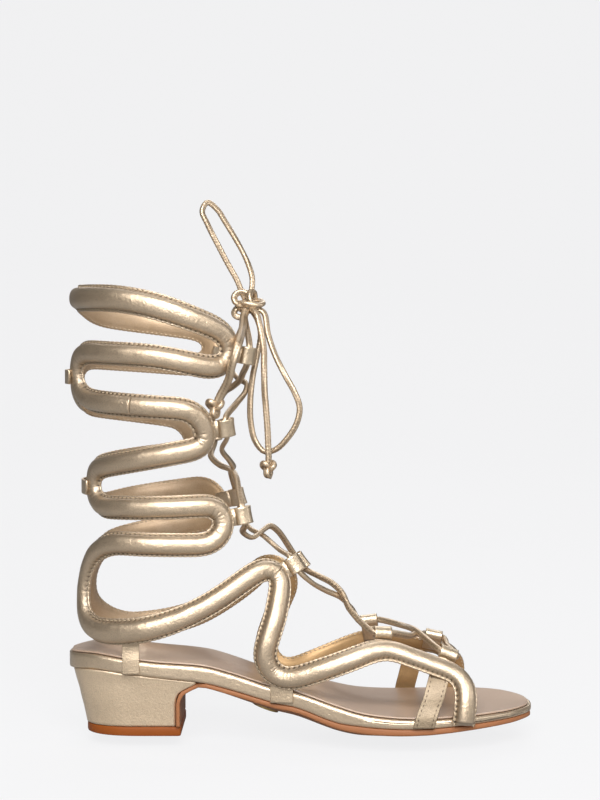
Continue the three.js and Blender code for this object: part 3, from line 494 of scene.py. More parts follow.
# The sole's plan: x, half width outside and inside, and how far the straps' lining stands off it.
STAND_OFF = 3
PLAN = table(
    (-35.5, 0, 0, 1.9),
    (-34, 6.5, 6.5, 1.9),
    (-30, 13, 13, 1.9),
    (-20, 20.8, 20.8, 1.9),
    (-5, 25.6, 25.6, 1.9),
    (15, 26.8, 26.6, 1.9),
    (40, 25.8, 24, 1.9),
    (70, 26.4, 21, 1.9),
    (100, 31.5, 26.5, 1.9),
    (125, 36.6, 34.5, 0.8),
    (147, 38.4, 38.6, 0.8),
    (167, 36.6, 39, 0.8),
    (185, 30.5, 36, 0.8),
    (200, 20.8, 29, 0.8),
    (209.5, 9, 19.5, 0.8),
    (213, -5, 6, 0.8),
)
# The sole's side profile: x, footbed top, seam, outsole edge, outsole's middle.
TOP, SEAM, EDGE, MIDDLE = 1, 2, 3, 4
PROFILE = table(
    (-35.5, 41.8, 33.6, 31, 31),
    (-20, 43.1, 35.4, 33, 33),
    (-5, 41.4, 34, 31.6, 31.6),
    (12, 39.4, 32, 29.8, 29.6),
    (37, 37.2, 28.9, 26.6, 25.6),
    (50, 34, 25.8, 23.1, 20.6),
    (74, 26.4, 18.8, 16.1, 12.2),
    (87, 23.9, 16.4, 13.6, 9),
    (107, 17.6, 9.7, 6.5, 2.4),
    (120, 14.2, 8.2, 4.4, 0),
    (137, 12.4, 7.3, 3.7, 0),
    (154, 12.1, 7.5, 4.2, 0),
    (179, 12.7, 9, 6, 2.4),
    (197, 13, 9.6, 6.9, 4.6),
    (213, 12.4, 9.4, 7.2, 6.6),
)


# The toe's end in plan: x and y from the outer side round to the inner.
TOE_FROM = 200
TOE_END = smooth_path([
    (192, -26.6, 0), (TOE_FROM, -20.8, 0), (209.3, -9, 0), (212.3, -1.5, 0), (213, 5.2, 0), (212.3, 12.4, 0),
    (209, 19.8, 0), (TOE_FROM, 29, 0), (192, 33.4, 0),
], 0.25)
TOE_TIP = int(np.argmax(TOE_END[:, 0]))
TOE_HALVES = {LATERAL: TOE_END[: TOE_TIP + 1] * (1, -1, 1), MEDIAL: TOE_END[:TOE_TIP - 1:-1]}


def plan_half(x, side):
    """The sole's half width on one side at a station."""
    rounded = np.interp(x, TOE_HALVES[side][:, 0], TOE_HALVES[side][:, 1])
    return float(rounded if x > TOE_FROM else look_up(PLAN, x, 1 if side == LATERAL else 2))


def profile(x, column):
    return float(look_up(PROFILE, x, column))


ARC = np.linspace(0, math.pi, 161)


def leg_point(seen_side, girth, z):
    """The place a given girth round the last from the back seam, at height z."""
    side = -seen_side if girth < 0 else seen_side
    back, wide, front, half, skew = row_at(LEG, z, BACK, WIDE, FRONT, HALF, SKEW)
    reach = np.where(ARC < math.pi / 2, wide - back, front - wide)
    y = side * half * np.sin(ARC)
    x = wide - reach * np.cos(ARC) - skew * y
    outline = np.column_stack([x, y])
    return np.append(at_distances(outline, distance_along(outline), [abs(girth)])[0], z)


def foot_point(side, x, z):
    """The last's half breadth over the foot at a station and height."""
    back, wide, front, half = row_at(LEG, z, BACK, WIDE, FRONT, HALF)
    reach = wide - back if x < wide else front - wide
    leg = half * math.sqrt(max(0, 1 - ((x - wide) / reach) ** 2))
    wall = float(plan_half(x, side) + look_up(PLAN, x, STAND_OFF))
    feather = profile(x, TOP) + 3
    rise = max(0, z - feather) / (float(look_up(INSTEP, x, 1)) - feather)
    arch = wall * math.sqrt(max(0, 1 - rise ** 2))
    return np.array((x, side * (wall if z < feather - 4 else max(leg, arch)), z))


def surface_normal(surface, side, along, z, reach=1.2):
    """The outward normal of the last, from places a little to each side."""
    du = surface(side, along + reach, z) - surface(side, along - reach, z)
    dv = surface(side, along, z + reach) - surface(side, along, z - reach)
    normal = unit(np.cross(du, dv))
    return -normal if normal[1] * side < 0 and abs(normal[1]) > 0.05 else normal


# Pegs that each strap is laid round, as a belt: name, place along, height, radius. A positive radius
# turns left seen from outside. Leg pegs go by girth from the back seam, foot pegs by x.
LEG_PEGS = {
    LATERAL: [
        ("backSeam", 0, 230.2, 0),
        ("bandDroop", 34, 110, -120),
        ("front1", 95.2, 204, -10.4),
        ("run2", 50, 91, 110),
        ("back1", 21.3, 189.4, 12.8),
        ("front2", 73.4, 162.6, -10.6),
        ("back2", 19.4, 131.3, 10.7),
        ("front3", 76.8, 112.3, -10.2),
        ("heelUpper", 34, 76.7, 26),
        ("heelLower", 26.3, 74.2, 18),
        ("ankleRun", 30, 166.4, 110),
        ("instep", 112.8, 79, -9.6),
        ("down", 120.6, 65, 0),
    ],
    MEDIAL: [
        ("backSeam", 0, 230.2, 0),
        ("bandDrop", 1.5, 202.2, -28),
        ("bandLevel", 35.5, 248.8, 28),
        ("front1", 85, 203.6, -10),
        ("back1", 19.4, 185.5, 13),
        ("front2", 66.5, 155.5, -10),
        ("back2", 17, 129, 10.6),
        ("front3", 75.5, 117.4, -9.2),
        ("heelUpper", 29.7, 77.6, 21.5),
        ("heelLower", 40.4, 82, 32),
        ("ankleRun", 44, 136.8, 86.5),
        ("instep", 116.5, 75, -9.8),
        ("down", 121.5, 62, 0),
    ],
}
FOOT_PEGS = {
    LATERAL: [
        ("waist", 82.5, 45, 12.8),
        ("vamp", 130.5, 21.6, -25),
        ("toe", 163.3, 24.6, -11),
        ("end", 172.6, 9.6, 0),
    ],
    MEDIAL: [
        ("waist", 82, 38.4, 12.8),
        ("vamp", 132, 14.4, -28),
        ("toe", 162.3, 25, -12),
        ("end", 172.6, 9.6, 0),
    ],
}


def belt_line(pegs):
    """The line of a belt round pegs, about 1 mm a step: (along, z, peg, facing, last peg passed)."""
    heading = []
    for (_, u0, z0, r0), (_, u1, z1, r1) in zip(pegs, pegs[1:]):
        du, dz, slack = u1 - u0, z1 - z0, r0 - r1
        free = math.sqrt(max(0, du ** 2 + dz ** 2 - slack ** 2))
        heading.append(math.atan2(dz, du) + math.atan2(slack, free))
    line = []
    for i, (name, u, z, r) in enumerate(pegs):
        into, out = heading[max(0, i - 1)], heading[min(i, len(heading) - 1)]
        sense = (r > 0) - (r < 0)
        turn = (sense * (out - into)) % (2 * math.pi)
        turn = 0 if turn > 2 * math.pi - 0.01 else sense * turn
        steps = 0 if r == 0 else max(2, round(abs(turn * r)))
        for s in range(steps + 1):
            angle = into + (s / steps * turn if steps else 0)
            facing = math.degrees(math.atan2(-math.cos(angle) * r, math.sin(angle) * r))
            line.append((u + r * math.sin(angle), z - r * math.cos(angle), name, facing, name))
        if i + 1 < len(pegs):
            _, u1, z1, r1 = pegs[i + 1]
            h = heading[i]
            start = (u + r * math.sin(h), z - r * math.cos(h))
            end = (u1 + r1 * math.sin(h), z1 - r1 * math.cos(h))
            count = max(1, round(math.hypot(end[0] - start[0], end[1] - start[1])))
            for s in range(1, count):
                f = s / count
                spot = [a + f * (b - a) for a, b in zip(start, end)]
                line.append((*spot, None, 0, name))
    return line


def fair(points, passes, reach):
    """Moving averages that shorten towards the ends, which stay put."""
    now = np.array(points, float)
    last = len(now) - 1
    for _ in range(passes):
        sums = np.vstack([np.zeros(now.shape[1]), np.cumsum(now, axis=0)])
        spans = np.minimum(reach, np.minimum(np.arange(last + 1), last - np.arange(last + 1)))
        i = np.arange(last + 1)
        now = (sums[i + spans + 1] - sums[i - spans]) / (2 * spans + 1)[:, None]
    return now


def strap_route(side):
    """One side's strap from the back seam to the toe: places, outward normals, marks."""
    leg = belt_line(LEG_PEGS[side])
    meet = leg_point(side, leg[-1][0], leg[-1][1])
    foot = belt_line([("down", meet[0], meet[2], 0)] + FOOT_PEGS[side])[1:]
    marks = [(leg_point, *m) for m in leg] + [(foot_point, *m) for m in foot]
    places = fair([m[0](side, m[1], m[2]) for m in marks], 3, 3)
    normals = fair([surface_normal(m[0], side, m[1], m[2]) for m in marks], 3, 5)
    labels = {key: [m[column] for m in marks] for key, column in (("peg", 3), ("facing", 4), ("after", 5))}
    return {"place": places, "normal": normals, **labels}


def part_of(route, start, stop):
    return {key: value[start:stop] for key, value in route.items()}


ROUTES = {side: strap_route(side) for side in (LATERAL, MEDIAL)}
# Where the upper is seamed: stations past the first back turn, and a share of the way round the instep.
SEAM_AFTER_BACK1 = 28
INSTEP_SEAM = 0.55
strap_lines = {}
for side, label in SIDE_NAMES.items():
    route = ROUTES[side]
    passed = enumerate(zip(route["peg"], route["after"]))
    seam = SEAM_AFTER_BACK1 + next(i for i, marks in passed if marks == (None, "back1"))
    on_instep = [i for i, peg in enumerate(route["peg"]) if peg == "instep"]
    top = on_instep[int(len(on_instep) * INSTEP_SEAM)]
    strap_lines["band_" + label] = part_of(route, 0, seam + 1)
    strap_lines["shaft_strap_" + label] = part_of(route, seam, top + 1)
    strap_lines["foot_strap_" + label] = part_of(route, top, None)
outer, inner = strap_lines.pop("band_lateral"), strap_lines.pop("band_medial")
strap_lines["collar_strap"] = {
    "place": fair(np.vstack([outer["place"][:0:-1], inner["place"]]), 3, 4),
    "normal": fair(np.vstack([outer["normal"][:0:-1], inner["normal"]]), 3, 6),
}

# The section across a strap, from one edge over the top to the other: flange, stitch groove, dome,
# then back under along the lining. Each pair is a place across and a height.
STITCH_AT = 5.35
FLANGE_ROWS = [
    (6.15, 0.1), (6.3, 0.4), (6.32, 0.75), (6.22, 1.02), (6.02, 1.2), (5.75, 1.24), (5.52, 1.16),
    (STITCH_AT, 1.06), (5.15, 1.12),
]
FLANGE = 1.15
CROWN = 5.6
RISE = CROWN - FLANGE
DOME_HALF = 4.95
DOME_POINTS = 17
LINING_HALF = 5.9
LINING_POINTS = 11
LINING_BULGE = 1.4
LINING_BULGE_HALF = 4.9
STATION = 0.5
STITCH_PITCH = 2.6


def strap_section():
    """The strap's section as (across, up) pairs, once round."""
    dome = []
    for angle in np.radians(np.linspace(8, 90, DOME_POINTS)):
        dome.append((DOME_HALF * max(0.0, math.cos(angle)) ** 0.88, FLANGE + RISE * math.sin(angle) ** 0.9))
    right = FLANGE_ROWS + dome
    left = [(-a, u) for a, u in right[-2::-1]]
    lining = []
    for a in np.linspace(-LINING_HALF, LINING_HALF, LINING_POINTS + 2)[1:-1]:
        lining.append((a, -LINING_BULGE * max(0.0, 1 - (a / LINING_BULGE_HALF) ** 2) ** 0.7))
    return np.array(right + left + lining)


SECTION = strap_section()
ON_LINING = np.arange(len(SECTION)) >= len(SECTION) - LINING_POINTS
LIFT_SHARE = np.clip((SECTION[:, 1] - FLANGE) / RISE, 0, 1)


def bell(x, middle, spread):
    """A soft bump of height 1 round a middle."""
    return np.exp(-((x - middle) / spread) ** 2)


def ease(x, start, end):
    """0 before start, 1 past end, even between; end may be below start."""
    return np.clip((x - start) / (end - start), 0, 1)


def waves(walked, seed, *periods):
    """A smooth uneven ripple: sines of the given periods with fixed phases."""
    phases = np.random.default_rng(seed).uniform(0, 2 * math.pi, len(periods))
    return sum(np.sin(2 * math.pi * walked / p + f) for p, f in zip(periods, phases)) / len(periods)


END_GAP = 0.03
END_REACH = 0.04


def resampled(line, spacing):
    """Evenly spaced places and frames along a strap, whose ends all but meet the next piece."""
    place, normal = line["place"], line["normal"]
    walked = distance_along(place)
    at = np.linspace(END_GAP, walked[-1] - END_GAP, int(walked[-1] / spacing))
    spots = fair(at_distances(place, walked, at), 2, 2)
    normals = at_distances(normal, walked, at)
    t = tangents(spots)
    n = unit(normals - t * np.einsum("ij,ij->i", normals, t)[:, None])
    spots[0] -= END_REACH * t[0]
    spots[-1] += END_REACH * t[-1]
    return at, spots, t, n, np.cross(t, n)


def bend_of(t, b, step):
    """Signed bend across the strap at each station, per mm: positive bends towards b."""
    turn = np.gradient(t, axis=0) / step
    bend = np.einsum("ij,ij->i", turn, b)
    return fair(bend[:, None], 2, 3)[:, 0]


def stitch_pull(spots, b, edge):
    """How far each station lies into a needle hole along one edge, 0 to 1."""
    walked = distance_along(spots + edge * STITCH_AT * b)
    pitch = walked[-1] / max(1, int(walked[-1] / STITCH_PITCH))
    return bell((walked / pitch) % 1, 0.5, 0.17)


# Bends, per mm, at which puckers start and are full; their depths; and how far each needle hole
# draws the leather down, in and in at the rim.
PUCKERS_FROM, PUCKERS_FULL = 0.03, 0.09
PUCKER_DEPTH, FINE_PUCKER_DEPTH = 0.78, 0.28
PULL_DOWN, PULL_IN, PULL_RIM = 0.34, 0.12, 0.2
# Heights in mm: where the strap goes flat under the footbed's edge, widens at the collar and spreads
# beside the heel, which lies behind the given station.
FLAT_FROM, FLAT_FULL = 11.6, 9.6
COLLAR_FROM, COLLAR_FULL = 214, 224
HEEL_SPREAD_AT, HEEL_SPREAD_BEHIND = 53, 62


def strap_rings(line, seed):
    """Rings of a padded strap with puckers on the inside of its turns, and each point's shading."""
    at, spots, t, n, b = resampled(line, STATION)
    level = spots[:, 2]
    across, up = SECTION.T
    off_middle, way = np.abs(across), np.sign(across)
    on_top = up > 0.5
    bend = bend_of(t, b, at[1] - at[0])
    tight = ease(np.abs(bend), PUCKERS_FROM, PUCKERS_FULL)
    inside = np.clip(np.sign(bend)[:, None] * across / DOME_HALF, 0, 1)
    flank = inside ** 0.7 * np.clip(1.25 - inside, 0, 1)
    calm = np.clip(np.minimum(at, at[-1] - at) / 8, 0, 1)[:, None]

    def folds(pitch, unevenness, sharpness, *periods, seed_step):
        phase = at / pitch + unevenness * waves(at, seed + seed_step, *periods)
        return 1 - np.abs(np.sin(math.pi * phase)) ** sharpness

    def drift(size, seed_step, *periods):
        return size * calm * waves(at, seed + seed_step, *periods)[:, None] * LIFT_SHARE

    pucker = PUCKER_DEPTH * folds(3.1, 0.55, 0.55, 13.0, 8.3, seed_step=0)
    pucker += FINE_PUCKER_DEPTH * folds(1.9, 0.5, 0.7, 9.0, 5.1, seed_step=1)
    depth = tight[:, None] * flank * pucker[:, None]
    height = up + drift(0.13, 2, 31.0, 19.0, 11.0) + drift(0.10, 3, 7.0, 4.6) * inside
    height -= depth * (0.3 + 0.7 * LIFT_SHARE) * ~ON_LINING

    near_hole = bell(off_middle, STITCH_AT, 0.5) * on_top
    rim = (off_middle > STITCH_AT) * (up > 0)
    pull, pull_rim = 0, 0
    for edge in (-1, 1):
        this_pull = stitch_pull(spots, b, edge)[:, None] * (near_hole * (way == edge))
        pull = pull + this_pull
        pull_rim = pull_rim + this_pull.max(axis=1, keepdims=True) * (rim * (way == edge))
    height -= PULL_DOWN * pull
    height[[0, -1]] -= 0.14 * LIFT_SHARE
    height -= 0.6 * ease(level, FLAT_FROM, FLAT_FULL)[:, None] * RISE * LIFT_SHARE

    broad = 0.12 * ease(level, COLLAR_FROM, COLLAR_FULL)
    broad += 0.16 * bell(level, HEEL_SPREAD_AT, 9) * (spots[:, 0] < HEEL_SPREAD_BEHIND)
    wide = across * (1 - 0.02 * tight + broad)[:, None] + drift(0.10, 4, 23.0, 14.0)
    wide -= (PULL_IN * pull + PULL_RIM * pull_rim) * way
    rings = spots[:, None, :] + wide[..., None] * b[:, None, :] + height[..., None] * n[:, None, :]

    # Painted shade: the stitch groove, the needle holes, the pucker folds and the flanks beside the dome are
    # darkened in colour, with a dark line where the strap goes flat at the footbed.
    groove = 0.35 * bell(off_middle, STITCH_AT, 0.25) * on_top
    painted_flank_shade = 0.34 * (1 - LIFT_SHARE) ** 1.5 * ((off_middle < 5.1) & (up > 1.1))
    at_footbed = 0.5 * bell(spots[:, 2:], 11.2, 0.3) * on_top
    shade = np.clip(groove + painted_flank_shade + 1.4 * pull + 0.9 * depth + at_footbed, 0, 1)
    return rings, shade, (spots, n, b * (1 + broad)[:, None])


STRAP_DARK = (0.07, 0.045, 0.022)
strap_leather = gold_leather("strap_leather", (0.65, 0.50, 0.34), STRAP_DARK, 0.40, 0.45)


def lining_leather(name, pale, tan):
    """Lining: soft satin leather with a fine nap; tan or pale by the tan attribute."""
    material, add, feed = node_material(name)
    patches = object_noise(add, 90.0, 4.0)
    nap = object_noise(add, 1900.0, 3.0)
    share = add("ShaderNodeAttribute", attribute_name="tan").outputs["Fac"]
    tone = mix(add, share, pale, tan)
    tone = mix(add, ramp(add, patches, (0.35, 0.0), (0.7, 0.35)), tone, darker(tan, 0.72))
    feed("Base Color", mix(add, ramp(add, nap, (0.35, 0.3), (0.55, 0.0)), tone, darker(tan, 0.6)))
    feed("Metallic", 0.45)
    feed("Roughness", 0.46)
    feed("Normal", bumped(add, (patches, 0.15, 0.0006), (nap, 0.3, 0.00015)))
    return material


LINING_TAN = (0.46, 0.29, 0.135)
strap_lining = lining_leather("strap_lining", (0.55, 0.41, 0.28), LINING_TAN)
# The thread lies at these heights over a strap's middle surface: in the groove and on the lining.
THREAD_LIFTS = (1.12, 0.0)

stitch_rows = []
for seed, (node, line) in enumerate(sorted(strap_lines.items())):
    rings, shade, (spots, n, b) = strap_rings(line, 100 + 10 * seed)
    piece = grid_mesh(node + "_leather", rings, strap_leather, shade=shade)
    mesh = piece.data
    mesh.materials.append(strap_lining)
    count = len(SECTION)
    under = set(np.nonzero(ON_LINING)[0]) | {0, count - LINING_POINTS - 1}
    for face in mesh.polygons[: (len(rings) - 1) * count]:
        if all(v % count in under for v in face.vertices):
            face.material_index = 1
    tan = mesh.attributes.new("tan", "FLOAT", "POINT")
    xs, _, zs = rings.reshape(-1, 3).T
    forward = ease(xs, 20, 60) * np.clip((250 - zs) / 60, 0.2, 1)
    tan.data.foreach_set("value", forward.astype(np.float32))
    dress(piece, "gold_leather", node)
    for edge in (-1, 1):
        for lift in THREAD_LIFTS:
            stitch_rows.append(spots + edge * STITCH_AT * b + lift * n)

# ---- Stitching --------------------------------------------------------------------------------
# Polyester thread in a lockstitch along both edges of every padded strap, seen from outside in the
# groove beside the dome and from inside on the lining. Geometry Nodes lays one stitch each pitch.
thread, add, feed = node_material("thread")
strand = add("ShaderNodeTexWave", {
    "Vector": add("ShaderNodeTexCoord").outputs["Object"],
    "Scale": 900.0,
    "Distortion": 1.0,
}).outputs["Fac"]
feed("Base Color", mix(add, object_noise(add, 400.0), (0.52, 0.41, 0.28), (0.40, 0.31, 0.2)))
feed("Roughness", 0.55)
feed("Sheen Weight", 0.2)
feed("Normal", bumped(add, (strand, 0.4, 0.0001)))


def stitch_tree(name):
    """Geometry Nodes: stitches laid at even pitch along the edges of the incoming mesh."""
    tree = bpy.data.node_groups.new(name, "GeometryNodeTree")
    face = tree.interface
    face.new_socket("Geometry", in_out="INPUT", socket_type="NodeSocketGeometry")
    for label in ("Pitch", "Length", "Thickness"):
        face.new_socket(label, in_out="INPUT", socket_type="NodeSocketFloat")
    face.new_socket("Thread", in_out="INPUT", socket_type="NodeSocketMaterial")
    face.new_socket("Geometry", in_out="OUTPUT", socket_type="NodeSocketGeometry")
    add = node_adder(tree)
    given = add("NodeGroupInput").outputs
    line = add("GeometryNodeMeshToCurve", {0: given["Geometry"]}).outputs[0]
    even = {"Curve": line, "Length": given["Pitch"]}
    ball = add("GeometryNodeMeshIcoSphere", {"Radius": 1.0, "Subdivisions": 2}).outputs[0]
    size = add("ShaderNodeCombineXYZ", {0: given["Length"], 1: given["Thickness"], 2: given["Thickness"]})
    stitch = add("GeometryNodeTransform", {0: ball, "Scale": size.outputs[0]}).outputs[0]
    along = add("GeometryNodeInputTangent").outputs[0]
    placed = add("GeometryNodeInstanceOnPoints", {
        "Points": add("GeometryNodeResampleCurve", even, mode="LENGTH").outputs[0],
        "Instance": stitch,
        "Rotation": add("FunctionNodeAlignRotationToVector", {"Vector": along}, axis="X").outputs[0],
        "Scale": add("FunctionNodeRandomValue", {2: 0.86, 3: 1.12, "Seed": 7}).outputs[1],
    }).outputs[0]
    real = add("GeometryNodeRealizeInstances", {0: placed}).outputs[0]
    smooth = add("GeometryNodeSetShadeSmooth", {0: real}).outputs[0]
    painted = add("GeometryNodeSetMaterial", {0: smooth, "Material": given["Thread"]}).outputs[0]
    add("NodeGroupOutput", {0: painted})
    return tree


STITCHES = stitch_tree("stitches")


def stitched(name, rows, pitch, length, thickness, material):
    """One mesh of stitches along several rows (lists of places in mm)."""
    verts, edges = [], []
    for row in rows:
        start = len(verts)
        verts += (np.asarray(row) * MM).tolist()
        edges += [(start + k, start + k + 1) for k in range(len(row) - 1)]
    mesh = bpy.data.meshes.new(name + "_rows")
    mesh.from_pydata(verts, edges, [])
    rows_object = bpy.data.objects.new(name + "_rows", mesh)
    bpy.context.collection.objects.link(rows_object)
    modifier = rows_object.modifiers.new("stitches", "NODES")
    modifier.node_group = STITCHES
    values = {"Pitch": pitch * MM, "Length": length * MM / 2, "Thickness": thickness * MM / 2}
    values["Thread"] = material
    for item in STITCHES.interface.items_tree:
        if item.in_out == "INPUT" and item.name in values:
            modifier[item.identifier] = values[item.name]
    evaluated = rows_object.evaluated_get(bpy.context.evaluated_depsgraph_get())
    result = bpy.data.objects.new(name, bpy.data.meshes.new_from_object(evaluated))
    bpy.data.objects.remove(rows_object)
    bpy.context.collection.objects.link(result)
    result.data.name = name
    return result


strap_stitches = stitched("strap_stitches", stitch_rows, STITCH_PITCH, 1.6, 0.66, thread)
dress(strap_stitches, "gold_leather")

# ---- Lace loops -------------------------------------------------------------------------------
# Short strips of the gold leather folded round the lace; both ends lie under the strap's lining and
# are caught by its stitching. Twelve of them, a pair at each front turn.
LOOP_LENGTH = 9.2
LOOP_UP = 0.6
LOOP_HALF_UP = 3.0
LOOP_WALL = 1.0
# Turn, then for each side: angle on the turn (0 forward, 90 up), stand-off; then half depth and drop.
LOOPS = [
    ("front1", {LATERAL: (-14, 12.4), MEDIAL: (-20, 12.2)}, 4.5, 0.35),
    ("front2", {LATERAL: (-8, 12.4), MEDIAL: (-12, 12.2)}, 4.5, 0.35),
    ("front3", {LATERAL: (14, 12), MEDIAL: (12, 12.6)}, 4.5, 0.35),
    ("instep", {LATERAL: (42, 12), MEDIAL: (40, 11.6)}, 4.5, 0.35),
    ("vamp", {LATERAL: (86, 10.4), MEDIAL: (98, 12.6)}, 3.5, 0.9),
    ("toe", {LATERAL: (70, 11.4), MEDIAL: (79, 12)}, 3.5, 0.8),
]
# How many stations before that spot a turn's loops sit, where it isn't none.
BEFORE = {"toe": 4}
LOOP_EDGE = 0.22
loop_leather = gold_leather("loop_leather", (0.68, 0.535, 0.365), (0.2, 0.14, 0.07), 0.34, 0.3)


def loop_seat(side, turn, angle, out):
    """Where a loop sits: place, off the turn, out of the strap, along the lace."""
    route = ROUTES[side]
    on_turn = [i for i, peg in enumerate(route["peg"]) if peg == turn]
    i = min(on_turn, key=lambda k: abs(route["facing"][k] - angle)) - BEFORE.get(turn, 0)
    place = route["place"][i]
    t = unit(route["place"][i + 1] - route["place"][i - 1])
    n = unit(route["normal"][i] - t * np.dot(route["normal"][i], t))
    off = np.cross(t, n) * side
    return {"place": place, "off": off, "n": n, "along": np.cross(off, n), "out": out}


def loop_mesh(name, seat, half_out, drop):
    """A folded strip: an oval sleeve round the lace with a tail under the strap's lining."""
    out = seat["out"]
    angles = np.linspace(0, 2 * math.pi, 48, endpoint=False)
    along = np.array([-1, -0.96, -0.8, -0.4, 0, 0.4, 0.8, 0.96, 1]) * LOOP_LENGTH / 2
    flare = 1 + 0.05 * np.abs(along / along[-1]) ** 3
    rings = []

    def ring(inset, position, swell):
        x = out + (half_out * swell - inset) * np.cos(angles)
        y = LOOP_UP + (LOOP_HALF_UP * swell - inset) * np.sin(angles)
        return np.stack([x, y, np.full_like(x, position)], axis=1)

    for position, swell in zip(along, flare):
        inset = LOOP_EDGE if abs(position) == along[-1] else 0.0
        rings.append(ring(inset, position, swell))
    for position, swell in zip(along[::-1], flare[::-1]):
        inset = LOOP_WALL - LOOP_EDGE if abs(position) == along[-1] else LOOP_WALL
        rings.append(ring(inset, position, swell))
    rings = np.array(rings)
    basis = np.stack([seat["off"], seat["n"], seat["along"]])
    sleeve = grid_mesh(name, rings @ basis + seat["place"], loop_leather, closed_path=True)
    tail_from, tail_to = 0.6, out - half_out + 1.2
    tail_rings = []
    for x in np.linspace(tail_from, tail_to, 9):
        lift = 0.0 if x < tail_to - 2 else 0.5 * (x - tail_to + 2) ** 2 / 2
        corners = [(-1, 0), (-0.94, 1), (0.94, 1), (1, 0), (0.94, -1), (-0.94, -1)]
        tail_rings.append([(x, -drop - 0.5 + 0.5 * h + lift, w * LOOP_LENGTH / 2) for w, h in corners])
    tail = grid_mesh(name + "_tail", np.array(tail_rings) @ basis + seat["place"], loop_leather)
    return join(name, [sleeve, tail])


seats = []
for row, (turn, ends, half_out, drop) in enumerate(LOOPS, start=1):
    pair = {side: loop_seat(side, turn, *ends[side]) for side in (LATERAL, MEDIAL)}
    seats.append(pair)
    for side, label in SIDE_NAMES.items():
        piece = loop_mesh("loop_%s_%d" % (label, row), pair[side], half_out, drop)
        dress(piece, "gold_leather", "lace_loop_%s_%d" % (label, row))

# ---- Lace -------------------------------------------------------------------------------------
# The one lace, threaded through all twelve loops: it starts across the toe, crosses or twists between
# each pair of loops and the next, and both ends come up to the knot. The places between one pair of
# loops and the next are listed for the half that leaves each side.
BETWEEN = [
    {
        LATERAL: [(58.3, -12, 190.8), (56.4, -4, 186.8), (51.9, 3, 182.8), (47.3, 9, 179.4)],
        MEDIAL: [
            (51.6, 10, 190.7), (55.4, 2, 187.2), (59.8, -3, 184.7), (59.2, -7, 180.5), (54.6, -13, 174.5),
        ],
    },
    {
        LATERAL: [(47.2, -14, 150.3), (50.6, -6, 144.4), (52.7, 0, 140.1), (51.1, 6, 137.7)],
        MEDIAL: [(40, 14, 144.9), (45.2, 6, 140.7), (51.4, -1, 138.7), (54.3, -6, 135.3), (55.9, -13, 129)],
    },
    {
        LATERAL: [(58.2, -14, 106.9), (62.8, -9, 103.4), (68, -2, 106), (72.2, 3, 108.1), (76.4, 7, 104.9)],
        MEDIAL: [(56.3, 14, 112.7), (61.7, 7, 106), (67.4, 1, 104), (72.8, -4, 100.3), (77.7, -8, 96.6)],
    },
    {
        LATERAL: [(94.7, -12, 79.7), (101.6, -5, 74.7), (109.8, 1, 70), (115.9, 8, 63)],
        MEDIAL: [(99.1, 9, 79.8), (105.5, 4, 77.1), (110.8, -1, 72.5), (115, -8, 64.7)],
    },
    {
        LATERAL: [(145.6, -10, 51), (150.5, 0, 50.2), (155.5, 9, 48.6)],
        MEDIAL: [(144.8, 11, 52.6), (149.5, 1, 52.4), (155, -8, 49.5)],
    },
]
LACE_HALF_WIDE = 1.7
LACE_HALF_THICK = 1.35
LACE_STEP = 0.9


def mouths(seat):
    """The middle of a loop and its two mouths, the upper one first."""
    middle = seat["place"] + seat["off"] * seat["out"] + seat["n"] * LOOP_UP
    ends = [middle + way * (LOOP_LENGTH / 2) * seat["along"] for way in (1, -1)]
    if ends[0][2] - ends[0][0] < ends[1][2] - ends[1][0]:
        ends.reverse()
    return ends[0], middle, ends[1]


def lace_down(start_side):
    """Places of one half of the lace from the knot down to the toe."""
    side = start_side
    places = [KNOT + np.array((-1.5, 1.0 * side, -7.5))]
    for row, pair in enumerate(seats):
        places += list(mouths(pair[side]))
        if row < len(BETWEEN):
            places += [np.array(p, float) for p in BETWEEN[row][side]]
        side = -side
    return places


halves = [lace_down(LATERAL), lace_down(MEDIAL)]
toe_bar = 0.5 * (halves[0][-1] + halves[1][-1]) + np.array((-0.5, 0, 0.2))
lace_line = smooth_path(halves[0] + [toe_bar] + halves[1][::-1], LACE_STEP)
rings, shade = lace_rings(lace_line, LACE_HALF_WIDE, LACE_HALF_THICK)
lace = grid_mesh("lace", rings, lace_leather, shade=shade)
dress(lace, "lace_leather", *["lace_crossing_%d" % (k + 1) for k in range(6)])

# ---- Footbed ----------------------------------------------------------------------------------
# A shaped board wrapped in the gold leather, with softly rounded edges, under a taupe insole with
# a turned edge. Both follow the sole's plan and side profile.
def stations(start, end, count):
    """Stations along the sole, closer together towards the heel and the toe."""
    even = np.linspace(0, 1, count + 1)
    bunched = (1 - np.cos(math.pi * even)) / 2
    return start + (end - start) * (0.35 * even + 0.65 * bunched)


def kept_in(corners, half):
    """The outline's corners, kept on its surface where the slab is narrower than they reach in."""
    turn = min(range(len(corners)), key=lambda k: corners[k][0])
    sides = np.array(corners[turn::-1]), np.array(corners[turn:])
    kept = []
    for k, (inward, z) in enumerate(corners):
        if inward > half:
            inward, z = half, float(np.interp(half, *sides[int(k > turn)].T))
        kept.append((inward, z))
    return kept


# Over these stations an inset slab's edge comes to be measured back from the toe, not in from the side.
AHEAD_FROM, AHEAD_FULL = 190, 211
NARROWEST = 0.6


def slab_rings(xs, inset, outline):
    """Rings across the sole. outline(x) lists (in from the edge, z) from bottom middle out and over."""
    rings = []
    for x in xs:
        ahead = float(ease(x, AHEAD_FROM, AHEAD_FULL))
        shown = x + inset * ahead
        outer, inner = (plan_half(shown, side) - inset * (1 - ahead) for side in (LATERAL, MEDIAL))
        inner = max(inner, NARROWEST - outer)
        middle, half = (inner - outer) / 2, (inner + outer) / 2
        ring = []
        for side in (LATERAL, MEDIAL):
            corners = kept_in(outline(x), half)
            for inward, z in corners if side == LATERAL else corners[::-1]:
                ring.append((x, middle + side * (half - inward), z))
        rings.append(ring)
    return np.array(rings)


DISH = 0.8
# Further in than any middle line, so that kept_in ends the outline there.
MIDDLE_LINE = 200


